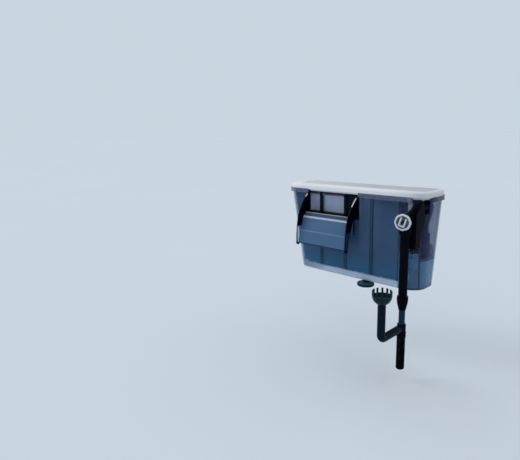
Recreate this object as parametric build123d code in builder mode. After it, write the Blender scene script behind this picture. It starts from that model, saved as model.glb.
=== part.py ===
"""Hang-on-back aquarium filter, modelled as the pieces it comes apart into.

The box hangs outside the aquarium. Its spillway and its intake saddle hook over the edge of the
glass. A pump in the broad end of the box draws water up the telescopic intake, and the water then
runs along the box through four media baskets and falls back over the spillway.

The origin is on the underside of the spillway, where it rests on the edge of the glass: midway
along the box, and in the middle of the glass. +X runs along the box towards the pump, +Y away from
the aquarium and +Z up.
"""
import os
from math import atan2, cos, pi, radians, sin

from build123d import *

os.makedirs("parts", exist_ok=True)

# ---------------------------------------------------------------- driving sizes, millimetres
# Glass
glass_slot = 12.0             # thickest glass that the hooks pass over
rim_above_glass = 51.0        # top of the box's rim above the edge of the glass

# Box
box_length = 332.0
box_depth = 87.0
box_height = 178.0
wall = 2.2
floor_thickness = 2.6
left_corner = 23.5
right_corner = 34.0
corner_taper = 3.0            # how much smaller the right corners are at the floor
left_draft = 30.0
right_draft = 10.6
front_draft = 1.4
rear_draft = 7.4
rim_overhang = 4.0
rim_height = 7.5
rim_lip = 1.2
rim_lip_height = 1.0
floor_edge = 1.5

# Lid
lid_height = 9.7
lid_wall = 2.2
lid_gap = 0.6
lid_lip_depth = 3.5
lid_lip_thickness = 1.4
lid_top_round = 3.0
panel_recess = 0.8
panel_front_margin = 25.0
panel_rear_margin = 9.0
panel_end_margin = 16.0
panel_corner = 14.0
vent_length = 14.0
vent_width = 6.0
vent_from_end = 12.0
vent_from_front = 62.0
vent_slant = 60.0

# Spillway
spill_from_end = 62.5         # from the box's left end to the opening
spill_length = 123.0
sill_height = 6.0             # sill of the spill opening above the glass
spill_floor = 2.5             # thickness of the ramp, and of the floor where it reaches the crest
crest_reach = 2.0             # how far past the glass the floor runs before it turns down
crest_slope = 45.0
crest_length = 11.7           # the first of the ramp's three facets
bend_round = 2.0
ramp_slope = 69.0
crease_drop = 34.0            # where the ramp steepens, below the edge of the glass
apron_slope = 79.0
ramp_drop = 62.0
cheek_thickness = 2.4
cheek_drop = 65.0
cheek_top_gap = 3.0
cheek_reach = 44.0            # how far the cheeks stand out from the front of the box
cheek_shape = ((0.45, 29.0), (0.68, 15.0), (0.87, -6.0), (0.97, -34.0))  # share of reach, height
cheek_round = 4.0
hook_wall = 2.5
hook_drop = 32.0
ramp_rib = 2.0
ramp_ribs = 3

# Bays, dividers and baskets
first_bay = 91.0              # from the box's left end to the first divider
pump_chamber = 53.8           # from the last divider to the box's right end
bays = 4
divider_thickness = 2.4
divider_gap = 0.3
flange_width = 6.4            # edges of the dividers, which stand against the walls
flange_depth = 1.8
foot_width = 22.0
foot_height = 12.5
foot_thickness = 10.0
foot_setback = 2.5            # the feet stand this far behind the baskets' skirts
divider_top_gap = 4.5         # dividers end this far under the rim
basket_lift = 13.4            # baskets stand this far above the floor
basket_wall = 1.4
basket_gap = 0.4
basket_inset = 5.0            # from the outside of the box's walls to the baskets
basket_top_gap = 7.0
basket_corner = 3.0
basket_floor = 2.0
skirt_drop = 3.0
skirt_notch = 9.0
skirt_pitch = 18.0
spill_baskets = 2             # baskets whose fronts open onto the spillway
window_overlap = 6.0          # the first opening runs on this far behind the left cheek
pad_gap = 0.4
pad_top_gap = 3.0
carbon_height = 46.0
rest_length = 6.0             # upright ribs on the floor that carry the baskets
rest_thickness = 2.0
rest_inset = 20.0
rest_places = (14.0, 44.0)    # from the right side of each basket
pad_corner = 1.6
flow_slot_width = 3.0
flow_slot_margin = 14.0
flow_slots = 6
underpass_width = 9.0
underpass_height = 17.0
underpasses = 4

# Pump
pump_from_end = 28.5
pump_from_rear = 38.0
shaft_radius = 1.5
rotor_radius = 6.5
rotor_length = 16.0
rotor_clearance = 0.5
motor_wall = 1.4
motor_height = 24.0
motor_end_radius = 16.0
motor_length = 35.5
motor_cover_thickness = 2.0
well_wall = 1.2
well_floor = 3.0
bush_radius = 3.4
bush_height = 2.4
bush_floor = 0.6              # the lower bush is blind and keeps this much under the shaft
core_height = 12.0
core_reach = 4.0              # the poles end this far past the rotor's axis
core_arm = 5.0
core_yoke = 4.0
coil_wall = 1.7
coil_height = 15.0
coil_length = 13.0
volute_radius = 16.5
volute_wall = 1.7
volute_height = 12.0
impeller_radius = 11.5
impeller_blades = 6
blade_height = 7.5
blade_thickness = 1.3
blade_bow = 1.8               # how far the blades curve
hub_radius = 3.6
backplate = 1.0
inlet_spigot_radius = 6.5
inlet_wall = 1.5
inlet_height = 14.0
outlet_radius = 4.2
outlet_wall = 1.4
outlet_reach = 24.0
shelf_above_floor = 41.4      # underside of the pump shelf above the inside of the floor
shelf_thickness = 3.0
shelf_height = 17.0
shelf_wall = 1.6
shelf_gap = 0.4
shelf_port_radius = 3.5
shelf_port_turn = 110.0
fin_length = 20.0
spider_hub_radius = 4.2
spider_arm = 1.4
spider_height = 3.6

# Intake
intake_from_end = 18.5
intake_y = -35.2
pipe_radius = 8.0
pipe_wall = 1.9
leg_radius = 8.8              # the arm, between the valve and the pump
arm_drop = 3.0                # the arm leaves the valve this far under the knob's axis
arm_lean = 3.0                # how far the arm leans towards the end of the box at the rim
bend_over_glass = 34.5        # height of the pipe's centre where it crosses the rim
knee_lean = 13.5              # the knee over the pump lies this far nearer the end of the box
knee_setback = 5.0            # the knee lies this far in front of the pump
knee_height = 37.0
leg_straight = 24.0           # upright length above the pump
valve_radius = 10.2
valve_height = 16.0           # height of the knob's axis
valve_top = 27.0
valve_crown = 3.0
valve_socket_bottom = -8.0
tube_socket = 14.0            # how deep the tube is pushed into the valve body
knob_turn_in = 12.0           # the knob faces this far round from the aquarium side
spindle_radius = 2.0
vane_thickness = 1.6
vane_gap = 0.5
boss_radius = 7.5
boss_reach = 11.6
knob_radius = 15.2
knob_thickness = 11.0
knob_sides = 8
knob_corner = 3.0
knob_edge = 1.6
knob_recess = 3.0
knob_recess_radius = 11.4
knob_grip = 5.0
knob_gap = 0.4
seal_radius = 3.9
seal_depth = 2.4
running_gap = 0.08            # radial, shafts and sliding tubes
seat_gap = 0.05               # radial, joints that are pushed home
sleeve_radius = 12.0
sleeve_rise = 22.0
saddle_width = 23.8
saddle_web = 2.4
saddle_plate = 3.0
saddle_drop = 36.0
saddle_bridge = 6.0
saddle_gap = 0.2
nose_reach = 17.5             # how far the saddle stands out in front of the glass
nose_top = 14.0
cheek_crown = ((-2.0, 47.0), (4.0, 44.0))  # top of the saddle's right cheek, Y and height
cheek_shoulder = 26.0
notch_margin = 1.5
notch_floor = 21.0
notch_reach = 21.0            # how far the notch runs round the corner
bend_radius = 16.0
rise_radius = 50.0

# Telescopic tube, skimmer and strainer
outer_tube_end = -137.0
tube_end_relief = 0.1         # the tube's two ends are this much thinner, to enter their sockets
collar_top = -123.0
collar_bottom = -148.6
collar_radius = 10.0
collar_throat = 9.2
collar_foot_radius = 7.0
collar_slots = 6
collar_slot_width = 2.6
collar_slot_depth = 7.0
collar_seal_width = 1.8
collar_seal_height = 2.4
extension_radius = 5.8
extension_wall = 1.0
extension_top = -80.0
tee_top = -177.5
tee_height = 14.6
tee_radius = 7.9
tee_land = 2.4
tee_reach = 12.0
arm_radius = 7.1
arm_wall = 1.5
arm_bend = 9.5
arm_spigot = 6.0
skimmer_y = -105.9
window_width = 5.0
cup_bottom = -119.6
cup_radius = 17.2
cup_wall = 1.8
bowl_height = 16.0
tooth_height = 8.6
cup_teeth = 12
stem_length = 26.0
stem_wall = 1.1
cup_tooth_width = 3.2
cup_rib = 1.2
strainer_cap_radius = 8.5
strainer_cap_height = 10.0
strainer_radius = 7.7
strainer_wall = 1.5
strainer_length = 64.0
strainer_columns = 10
strainer_rows = 3
strainer_slot_width = 2.2
strainer_slot_length = 14.0
strainer_slot_gap = 4.0

# Levelling cam and cord gland
cam_from_divider = 13.8
cam_pin_y = 19.0
cam_throw = 9.2
cam_aim = -68.0               # where the disc stands from its pin, degrees round from +X
cam_radius = 17.5
cam_thickness = 6.2
cam_hub_radius = 8.2
cam_hub_height = 4.5          # from the disc up to the underside of the box
cam_hub_depth = 6.5           # how far the hub enters its socket in the floor
cam_pin_radius = 2.5
cam_head_radius = 4.5
cam_head_height = 2.0
cam_socket_gap = 0.3
cam_socket_wall = 1.8
cam_boss_radius = 5.0
cam_boss_height = 6.5
gland_from_end = 42.0
gland_height = 30.0
gland_neck = 9.2              # side of the square neck, which keeps the gland from turning
gland_flange = 1.8
gland_flange_radius = 7.4
gland_tail = 7.0
gland_tail_radius = 5.0
gland_bore = 3.2
gland_gap = 0.5

# ---------------------------------------------------------------- places that follow from them
box_left = -box_length / 2
box_right = box_length / 2
box_front = glass_slot / 2
box_rear = box_front + box_depth
pump_x = box_right - pump_from_end
pump_y = box_rear - pump_from_rear
knee_y = pump_y - knee_setback
intake_x = box_right - intake_from_end
gland_x = box_right - gland_from_end
spill_left = box_left + spill_from_end
spill_right = spill_left + spill_length
rim_top = rim_above_glass
box_bottom = rim_top - box_height
floor_top = box_bottom + floor_thickness
glass_inner = -glass_slot / 2


def fall(height):
    """Share of the box's height from the rim down to a level."""
    return (rim_top - height) / box_height


def front_at(height, inward=0.0):
    """Y of the front wall's outer face, moved inward by a distance."""
    return box_front + front_draft * fall(height) + inward


def rear_at(height, inward=0.0):
    """Y of the rear wall's outer face, moved inward by a distance."""
    return box_rear - rear_draft * fall(height) - inward


def outline(height, inward=0.0):
    """The box's rounded outline at a height, moved inward by a distance."""
    left = box_left + left_draft * fall(height) + inward
    right = box_right - right_draft * fall(height) - inward
    front = front_at(height, inward)
    rear = rear_at(height, inward)
    half = (rear - front) / 2 - 0.2
    left_round = min(left_corner - inward, half)
    right_round = min(right_corner - corner_taper * fall(height) - inward, half)
    with BuildSketch(Plane.XY.offset(height)) as sketch:
        with Locations(((left + right) / 2, (front + rear) / 2)):
            Rectangle(right - left, rear - front)
        fillet(sketch.vertices().group_by(Axis.X)[0], left_round)
        fillet(sketch.vertices().group_by(Axis.X)[-1], right_round)
    return sketch.sketch


def save(piece, name):
    """Label a finished piece and write it to its own file."""
    piece.part.label = name
    export_step(piece.part, f"parts/{name}.step")


bay_pitch = (box_length - first_bay - pump_chamber) / (bays - 1)
divider_places = [box_left + first_bay + bay_pitch * i for i in range(bays)]
divider_top = rim_top - divider_top_gap
basket_bottom = floor_top + basket_lift
basket_top = rim_top - basket_top_gap
basket_front = front_at(basket_bottom, basket_inset)
basket_rear = rear_at(basket_bottom, basket_inset)
basket_mid = (basket_front + basket_rear) / 2
rest_lines = (basket_front + rest_inset, basket_rear - rest_inset)
shelf_bottom = floor_top + shelf_above_floor
motor_bottom = shelf_bottom + shelf_thickness
motor_top = motor_bottom + motor_height
volute_top = motor_top + volute_height
spigot_top = volute_top + inlet_height
pipe_bottom = spigot_top + 0.5
pump_left = divider_places[-1] + divider_thickness / 2
cam_x = divider_places[2] - cam_from_divider
cam_plane = box_bottom - cam_hub_height
saddle_middle = intake_x + arm_lean
saddle_left = saddle_middle - saddle_width / 2
saddle_right = saddle_middle + saddle_width / 2
notch_left = saddle_left - notch_margin

# ---------------------------------------------------------------- box
with BuildPart() as tank:
    loft(sections=[outline(box_bottom, floor_edge), outline(box_bottom + floor_edge), outline(rim_top)],
         ruled=True)
    extrude(outline(rim_top, -rim_overhang), amount=-rim_height)
    extrude(outline(rim_top, -rim_overhang), amount=rim_lip_height)
    extrude(outline(rim_top, rim_lip - rim_overhang), amount=rim_lip_height, mode=Mode.SUBTRACT)
    # hollow
    loft(sections=[outline(floor_top, wall), outline(rim_top + 1, wall)], ruled=True,
         mode=Mode.SUBTRACT)
    # spill opening and the notch that the intake passes through
    with BuildSketch(Plane.XZ.offset(-box_front)):
        with Locations(((spill_left + spill_right) / 2, sill_height)):
            Rectangle(spill_right - spill_left + 2 * cheek_thickness, rim_top,
                      align=(Align.CENTER, Align.MIN))
    extrude(amount=wall * 3 + rim_overhang, both=True, mode=Mode.SUBTRACT)
    with BuildSketch(Plane.XY.offset(notch_floor)):
        with Locations((notch_left, box_front - 2 * rim_overhang)):
            Rectangle(box_right + 2 * rim_overhang - notch_left, notch_reach + 2 * rim_overhang,
                      align=(Align.MIN, Align.MIN))
    extrude(amount=rim_height + rim_top - notch_floor, mode=Mode.SUBTRACT)
    # upright ribs that carry the baskets, and fins that carry the pump shelf
    with BuildSketch(Plane.XY.offset(floor_top - floor_thickness / 2)):
        with Locations(*[(x - rest_place, y)
                         for x in divider_places for rest_place in rest_places for y in rest_lines]):
            Rectangle(rest_length, rest_thickness)
    extrude(amount=basket_lift + floor_thickness / 2)
    with BuildSketch(Plane.XY.offset(floor_top - floor_thickness / 2)):
        with Locations(*[(pump_x, y) for y in rest_lines]):
            Rectangle(fin_length, rest_thickness)
    extrude(amount=shelf_above_floor + floor_thickness / 2)
    # socket for the cam's hub, a boss over it for the pin, and the hole for the cord gland
    socket_top = box_bottom + cam_hub_depth + cam_socket_gap
    with BuildSketch(Plane.XY.offset(box_bottom + floor_thickness / 2)):
        with Locations((cam_x, cam_pin_y)):
            Circle(cam_hub_radius + cam_socket_gap + cam_socket_wall)
    extrude(amount=socket_top + cam_socket_wall - box_bottom - floor_thickness / 2)
    with BuildSketch(Plane.XY.offset(socket_top + cam_socket_wall / 2)):
        with Locations((cam_x, cam_pin_y)):
            Circle(cam_boss_radius)
    extrude(amount=cam_boss_height)
    with BuildSketch(Plane.XY.offset(box_bottom)):
        with Locations((cam_x, cam_pin_y)):
            Circle(cam_hub_radius + cam_socket_gap)
    extrude(amount=cam_hub_depth + cam_socket_gap, mode=Mode.SUBTRACT)
    with BuildSketch(Plane.XY.offset(socket_top)):
        with Locations((cam_x, cam_pin_y)):
            Circle(cam_pin_radius + seat_gap)
    extrude(amount=cam_boss_height - cam_socket_wall / 2, mode=Mode.SUBTRACT)
    with Locations((gland_x, rear_at(gland_height), gland_height)):
        Box(gland_neck, wall * 6, gland_neck, mode=Mode.SUBTRACT)
save(tank, "tank")

# ---------------------------------------------------------------- lid
lid_out = rim_lip + lid_gap / 2 - rim_overhang
lid_top = rim_top + lid_height
lid_lip_out = wall + lid_gap
with BuildPart() as lid:
    extrude(outline(rim_top, lid_out), amount=lid_height)
    fillet(lid.faces().sort_by(Axis.Z)[-1].edges(), lid_top_round)
    extrude(outline(rim_top, lid_out + lid_wall + 1), amount=lid_height - lid_wall,
            mode=Mode.SUBTRACT)
    # lip that drops inside the box
    extrude(outline(rim_top, lid_lip_out), amount=lid_height - lid_wall)
    extrude(outline(rim_top, lid_lip_out), amount=-lid_lip_depth)
    extrude(outline(rim_top, lid_lip_out + lid_lip_thickness), amount=lid_height - lid_wall,
            mode=Mode.SUBTRACT)
    extrude(outline(rim_top, lid_lip_out + lid_lip_thickness), amount=-lid_lip_depth,
            mode=Mode.SUBTRACT)
    # sunken panel
    panel_left = box_left + lid_out + panel_end_margin
    panel_right = box_right - lid_out - panel_end_margin
    panel_front = box_front + lid_out + panel_front_margin
    panel_rear = box_rear - lid_out - panel_rear_margin
    with BuildSketch(Plane.XY.offset(lid_top - panel_recess)):
        with Locations(((panel_left + panel_right) / 2, (panel_front + panel_rear) / 2)):
            RectangleRounded(panel_right - panel_left, panel_rear - panel_front, panel_corner)
    extrude(amount=panel_recess + 1, mode=Mode.SUBTRACT)
    # vent slot
    with BuildSketch(Plane.XY.offset(rim_top)):
        with Locations((box_left + lid_out + vent_from_end, box_front + lid_out + vent_from_front)):
            SlotOverall(vent_length, vent_width, rotation=vent_slant)
    extrude(amount=lid_height + 1, mode=Mode.SUBTRACT)
save(lid, "lid")

# ---------------------------------------------------------------- spillway
def along(point, angle, distance):
    """The point at a distance from another, in a direction given in degrees."""
    return (point[0] + distance * cos(radians(angle)), point[1] + distance * sin(radians(angle)))


def parallel(points, depth):
    """The points of a line's parallel, at a depth to the left of the way it runs."""
    headings = [atan2(end[1] - start[1], end[0] - start[0]) for start, end in zip(points, points[1:])]
    moved = []
    for point, before, after in zip(points, [headings[0]] + headings, headings + [headings[-1]]):
        side = (before + after) / 2 + pi / 2
        reach = depth / cos((after - before) / 2)
        moved.append((point[0] + reach * cos(side), point[1] + reach * sin(side)))
    return moved


seat_rear = front_at(sill_height)
cheek_left = spill_left - cheek_thickness
cheek_right = spill_right + cheek_thickness
hook_front = glass_inner - hook_wall
crest = (glass_inner - crest_reach, spill_floor)
bend = along(crest, 180 + crest_slope, crest_length)
crease = along(bend, 180 + ramp_slope, (bend[1] + crease_drop) / sin(radians(ramp_slope)))
lip = along(crease, 180 + apron_slope, (ramp_drop - crease_drop) / sin(radians(apron_slope)))
back_crest, back_bend, back_crease, back_lip = parallel([crest, bend, crease, lip], spill_floor)
hook_share = (hook_front - back_bend[0]) / (back_crest[0] - back_bend[0])
hook_top = (hook_front, back_bend[1] + hook_share * (back_crest[1] - back_bend[1]))
with BuildPart() as spillway_chute:
    # floor, the ramp's three facets, and the wall that hooks behind the glass
    with BuildSketch(Plane.YZ.offset(cheek_left)):
        with BuildLine():
            FilletPolyline((seat_rear, sill_height), crest, bend, crease, lip, radius=bend_round)
            Polyline(lip, back_lip, back_crease, back_bend, hook_top, (hook_front, -hook_drop),
                     (glass_inner, -hook_drop), (glass_inner, 0), (seat_rear, 0),
                     (seat_rear, sill_height))
        make_face()
    extrude(amount=cheek_right - cheek_left)
    # cheeks: their front edges stand proud of the ramp, down to a rounded lower corner
    cheek_front = box_front - cheek_reach
    corner_end = (cheek_front + cheek_round, -cheek_drop)
    corner_start = (cheek_front, cheek_round - cheek_drop)
    corner_middle = along((corner_end[0], corner_start[1]), 225, cheek_round)
    with BuildSketch(Plane.YZ.offset(cheek_left)) as cheek:
        with BuildLine():
            Spline((box_front, rim_top - cheek_top_gap),
                   *[(box_front - share * cheek_reach, height) for share, height in cheek_shape],
                   corner_start)
            ThreePointArc(corner_start, corner_middle, corner_end)
            Polyline(corner_end, (back_lip[0], -cheek_drop), back_lip, back_crease, back_bend, hook_top,
                     (hook_front, 0), (seat_rear, 0), (seat_rear, sill_height),
                     (box_front + wall, sill_height), (box_front + wall, rim_top - cheek_top_gap),
                     (box_front, rim_top - cheek_top_gap))
        make_face()
    extrude(amount=cheek_thickness)
    with BuildSketch(Plane.YZ.offset(spill_right)):
        add(cheek.sketch_local)
    extrude(amount=cheek_thickness)
    # ribs between the hook wall and the back of the ramp
    rib_step = (spill_right - spill_left) / (ramp_ribs + 1)
    rib_bend, rib_crease = parallel([crest, bend, crease, lip], spill_floor / 2)[1:3]
    rib_root = hook_front + hook_wall / 2
    for number in range(ramp_ribs):
        with BuildSketch(Plane.YZ.offset(spill_left + rib_step * (number + 1) - ramp_rib / 2)):
            with BuildLine():
                Polyline((rib_root, hook_top[1]), rib_bend, rib_crease,
                         (rib_root, hook_wall - hook_drop), close=True)
            make_face()
        extrude(amount=ramp_rib)
save(spillway_chute, "spillway_chute")

# ---------------------------------------------------------------- dividers
front_edge = [(front_at(height, wall + divider_gap), height) for height in (floor_top, divider_top)]
rear_edge = [(rear_at(height, wall + divider_gap), height) for height in (divider_top, floor_top)]
for number, place in enumerate(divider_places):
    with BuildPart() as divider:
        with BuildSketch(Plane.YZ.offset(place - divider_thickness / 2)):
            with BuildLine():
                Polyline(*front_edge, *rear_edge, close=True)
            make_face()
            # under-passes for the water
            under_step = (rest_lines[1] - rest_lines[0]) / (underpasses - 1)
            with Locations(*[(rest_lines[0] + under_step * i, floor_top) for i in range(underpasses)]):
                Rectangle(underpass_width, 2 * underpass_height, mode=Mode.SUBTRACT)
        extrude(amount=divider_thickness)
        # flanges along the walls
        with BuildSketch(Plane.YZ.offset(place - flange_width / 2)):
            for edge, depth in ((front_edge, flange_depth), (rear_edge, -flange_depth)):
                with BuildLine():
                    Polyline(*edge, *[(y + depth, height) for y, height in reversed(edge)], close=True)
                make_face()
        extrude(amount=flange_width)
        # gussets under the baskets, which keep the divider upright
        foot_x = place + divider_thickness / 2
        for foot_rear in (basket_front + foot_setback + foot_thickness, basket_rear - foot_setback):
            with BuildSketch(Plane.XZ.offset(-foot_rear)):
                with BuildLine():
                    Polyline((foot_x, floor_top), (foot_x + foot_width, floor_top + foot_height),
                             (foot_x, floor_top + foot_height), close=True)
                make_face()
            extrude(amount=foot_thickness)
    save(divider, f"divider_{number + 1}")

# ---------------------------------------------------------------- media baskets and what they hold
def bay_block(low, high, inward, left, right, corner):
    """A block that fills a bay, at a distance from the box's slanted walls, with rounded corners.

    Without a left side it runs to the rounded end of the box.
    """
    with BuildPart() as block:
        loft(sections=[outline(low, inward), outline(high, inward)], ruled=True)
        split(bisect_by=Plane.YZ.offset(right), keep=Keep.BOTTOM)
        sides = [right]
        if left is not None:
            split(bisect_by=Plane.YZ.offset(left), keep=Keep.TOP)
            sides.append(left)
        uprights = [edge for edge in block.edges()
                    if abs((edge % 0.5).Z) > 0.9 and min(abs(edge.center().X - x) for x in sides) < 0.1]
        fillet(uprights, corner)
    return block.part


pad_bottom = basket_bottom + basket_floor + pad_gap
pad_top = basket_top - pad_top_gap
for number, place in enumerate(divider_places):
    basket_right = place - divider_thickness / 2 - basket_gap
    basket_left = place - bay_pitch + divider_thickness / 2 + basket_gap
    basket_x = (basket_left + basket_right) / 2
    basket_length = basket_right - basket_left
    left_side = basket_left if number else None
    left_inside = basket_left + basket_wall if number else None
    left_filling = basket_left + basket_wall + pad_gap if number else None
    with BuildPart() as basket:
        add(bay_block(basket_bottom, basket_top, basket_inset, left_side, basket_right, basket_corner))
        add(bay_block(basket_bottom + basket_floor, rim_top, basket_inset + basket_wall, left_inside,
                      basket_right - basket_wall, basket_corner - basket_wall), mode=Mode.SUBTRACT)
        # skirts with a castellated edge, under the front and the rear
        skirt_left = basket_left + basket_corner
        if not number:
            skirt_left = box_left + left_draft + left_corner
        skirt_length = basket_right - basket_corner - skirt_left
        skirt_x = skirt_left + skirt_length / 2
        notches = int(skirt_length / skirt_pitch)
        for skirt_y in (basket_front + basket_wall, basket_rear):
            with BuildSketch(Plane.XZ.offset(-skirt_y)):
                with Locations((skirt_x, basket_bottom + basket_floor / 2)):
                    Rectangle(skirt_length, skirt_drop + basket_floor / 2, align=(Align.CENTER, Align.MAX))
                with Locations((skirt_x, basket_bottom - skirt_drop)):
                    with GridLocations(skirt_pitch, 1, notches, 1):
                        Rectangle(skirt_notch, skirt_drop * 1.4, mode=Mode.SUBTRACT)
            extrude(amount=basket_wall)
        # slots that let the water through along the box, and down through the floor
        basket_depth = basket_rear - basket_front
        slot_step = basket_depth / (flow_slots + 1)
        slot_height = basket_top - basket_bottom - 2 * flow_slot_margin
        slot_start = basket_left - 1 if number else basket_right - 2 * basket_wall
        with BuildSketch(Plane.YZ.offset(slot_start)):
            with Locations((basket_mid, (basket_bottom + basket_top) / 2)):
                with GridLocations(slot_step, 1, flow_slots, 1):
                    Rectangle(flow_slot_width, slot_height)
        extrude(amount=basket_right + 1 - slot_start, mode=Mode.SUBTRACT)
        with BuildSketch(Plane.XY.offset(basket_bottom - 1)):
            with Locations((basket_x, basket_mid)):
                with GridLocations(1, slot_step, 1, flow_slots):
                    Rectangle(basket_length - 2 * flow_slot_margin, flow_slot_width)
        extrude(amount=basket_floor + 2, mode=Mode.SUBTRACT)
        if number < spill_baskets:
            window_left = max(basket_left + basket_wall, spill_left - window_overlap)
            window_right = basket_right - basket_wall
            with BuildSketch(Plane.XZ.offset(-basket_front - basket_wall)):
                with Locations(((window_left + window_right) / 2, sill_height - spill_floor)):
                    Rectangle(window_right - window_left, rim_top, align=(Align.CENTER, Align.MIN))
            extrude(amount=basket_inset, mode=Mode.SUBTRACT)
    save(basket, f"media_basket_{number + 1}")

    fillings = [(f"sponge_block_{number + 1}", pad_bottom, pad_top)]
    if number < spill_baskets:
        fillings = [(f"carbon_pack_{number + 1}", pad_bottom, pad_bottom + carbon_height),
                    (f"floss_pad_{number + 1}", pad_bottom + carbon_height + pad_gap, pad_top)]
    for filling, low, high in fillings:
        with BuildPart() as pad:
            add(bay_block(low, high, basket_inset + basket_wall + pad_gap, left_filling,
                          basket_right - basket_wall - pad_gap, pad_corner))
        save(pad, filling)

# ---------------------------------------------------------------- pump
shelf_left = pump_left + (flange_width - divider_thickness) / 2 + shelf_gap
with BuildPart() as pump_shelf:
    extrude(outline(shelf_bottom, wall + shelf_gap), amount=shelf_height)
    extrude(outline(motor_bottom, wall + shelf_gap + shelf_wall), amount=shelf_height, mode=Mode.SUBTRACT)
    split(bisect_by=Plane.YZ.offset(shelf_left), keep=Keep.TOP)
    with BuildSketch(Plane.YZ.offset(shelf_left)):
        with BuildLine():
            shelf_front = front_at(shelf_bottom, wall + shelf_gap)
            shelf_rear = rear_at(shelf_bottom, wall + shelf_gap)
            Polyline((shelf_front, shelf_bottom), (shelf_rear, shelf_bottom),
                     (shelf_rear, shelf_bottom + shelf_height), (shelf_front, shelf_bottom + shelf_height),
                     close=True)
        make_face()
    extrude(amount=shelf_wall)
    with Locations((pump_x, pump_y, shelf_bottom + shelf_thickness / 2)):
        with PolarLocations(motor_end_radius + shelf_port_radius + 2, 2, start_angle=shelf_port_turn):
            Cylinder(shelf_port_radius, shelf_thickness * 2, mode=Mode.SUBTRACT)
save(pump_shelf, "pump_shelf")


def motor_outline(height, inward):
    """The motor's D-shaped outline, round about the rotor and square at the coil."""
    left = pump_x + motor_end_radius - motor_length + inward
    radius = motor_end_radius - inward
    with BuildSketch(Plane.XY.offset(height)) as sketch:
        with Locations((pump_x, pump_y)):
            Circle(radius)
        with Locations(((left + pump_x) / 2, pump_y)):
            Rectangle(pump_x - left, 2 * radius)
        fillet(sketch.vertices().group_by(Axis.X)[0], 2)
    return sketch.sketch


cover_top = motor_bottom + motor_cover_thickness
well_radius = rotor_radius + rotor_clearance
well_bottom = cover_top + well_floor
rotor_bottom = well_bottom + bush_height / 2 + 0.4
rotor_top = rotor_bottom + rotor_length
core_middle = (rotor_bottom + rotor_top) / 2
eye_height = volute_top - volute_wall

with BuildPart() as motor_cover:
    extrude(motor_outline(motor_bottom, 0), amount=motor_cover_thickness)
save(motor_cover, "motor_cover")

with BuildPart() as motor_housing:
    extrude(motor_outline(cover_top, 0), amount=motor_top - cover_top)
    extrude(motor_outline(cover_top, motor_wall), amount=motor_top - cover_top - motor_wall,
            mode=Mode.SUBTRACT)
    with BuildSketch(Plane.XY.offset(cover_top)):
        with Locations((pump_x, pump_y)):
            Circle(well_radius + well_wall)
    extrude(amount=motor_top - cover_top)
    with BuildSketch(Plane.XY.offset(well_bottom)):
        with Locations((pump_x, pump_y)):
            Circle(well_radius)
    extrude(amount=motor_top - well_bottom + 1, mode=Mode.SUBTRACT)
    with BuildSketch(Plane.XY.offset(well_bottom - bush_height / 2)):
        with Locations((pump_x, pump_y)):
            Circle(bush_radius + seat_gap)
    extrude(amount=bush_height, mode=Mode.SUBTRACT)
save(motor_housing, "motor_housing")

coil_inner = core_yoke / 2 + 0.1
coil_x = pump_x + motor_end_radius - motor_length + motor_wall + coil_wall + coil_inner + 0.3
arm_inner = well_radius + well_wall + 0.3
with BuildPart() as stator_core:
    with BuildSketch(Plane.XY.offset(core_middle - core_height / 2)):
        core_left = coil_x - core_yoke / 2
        core_right = pump_x + core_reach
        with Locations(((core_left + core_right) / 2, pump_y)):
            Rectangle(core_right - core_left, 2 * (arm_inner + core_arm))
        with Locations(((core_left + core_yoke + core_right + 1) / 2, pump_y)):
            Rectangle(core_right - core_left - core_yoke + 1, 2 * arm_inner, mode=Mode.SUBTRACT)
    extrude(amount=core_height)
save(stator_core, "stator_core")

with BuildPart() as stator_coil:
    with BuildSketch(Plane.XY.offset(core_middle - coil_height / 2)):
        with Locations((coil_x, pump_y)):
            Rectangle(2 * (coil_inner + coil_wall), coil_length)
    extrude(amount=coil_height)
    with Locations((coil_x, pump_y, core_middle)):
        Box(2 * coil_inner, coil_length + 1, core_height + 0.2, mode=Mode.SUBTRACT)
save(stator_coil, "stator_coil")

with BuildPart() as rotor_magnet:
    with BuildSketch(Plane.XY.offset(rotor_bottom)):
        with Locations((pump_x, pump_y)):
            Circle(rotor_radius)
            Circle(shaft_radius + running_gap, mode=Mode.SUBTRACT)
    extrude(amount=rotor_length)
save(rotor_magnet, "rotor_magnet")

plate_bottom = max(rotor_top, motor_top) + 0.6
with BuildPart() as impeller:
    with BuildSketch(Plane.XY.offset(rotor_top)):
        with Locations((pump_x, pump_y)):
            Circle(hub_radius)
    extrude(amount=plate_bottom + backplate + blade_height - rotor_top)
    with BuildSketch(Plane.XY.offset(plate_bottom)):
        with Locations((pump_x, pump_y)):
            Circle(impeller_radius)
    extrude(amount=backplate)
    # swept blades
    for number in range(impeller_blades):
        turn = 2 * pi * number / impeller_blades
        with BuildSketch(Plane(origin=(pump_x, pump_y, plate_bottom), x_dir=(cos(turn), sin(turn), 0),
                               z_dir=(0, 0, 1))):
            with BuildLine():
                ThreePointArc((hub_radius - 0.5, 0), ((hub_radius + impeller_radius) / 2, blade_bow),
                              (impeller_radius - 0.5, 0))
            trace(line_width=blade_thickness)
        extrude(amount=backplate + blade_height)
    with BuildSketch(Plane.XY.offset(rotor_top)):
        with Locations((pump_x, pump_y)):
            Circle(shaft_radius + running_gap)
    extrude(amount=plate_bottom + backplate + blade_height - rotor_top, mode=Mode.SUBTRACT)
save(impeller, "impeller")

shaft_bottom = well_bottom - bush_height / 2 + bush_floor
shaft_top = eye_height + spider_height - bush_floor
with BuildPart() as impeller_shaft:
    with BuildSketch(Plane.XY.offset(shaft_bottom)):
        with Locations((pump_x, pump_y)):
            Circle(shaft_radius)
    extrude(amount=shaft_top - shaft_bottom)
save(impeller_shaft, "impeller_shaft")

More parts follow.
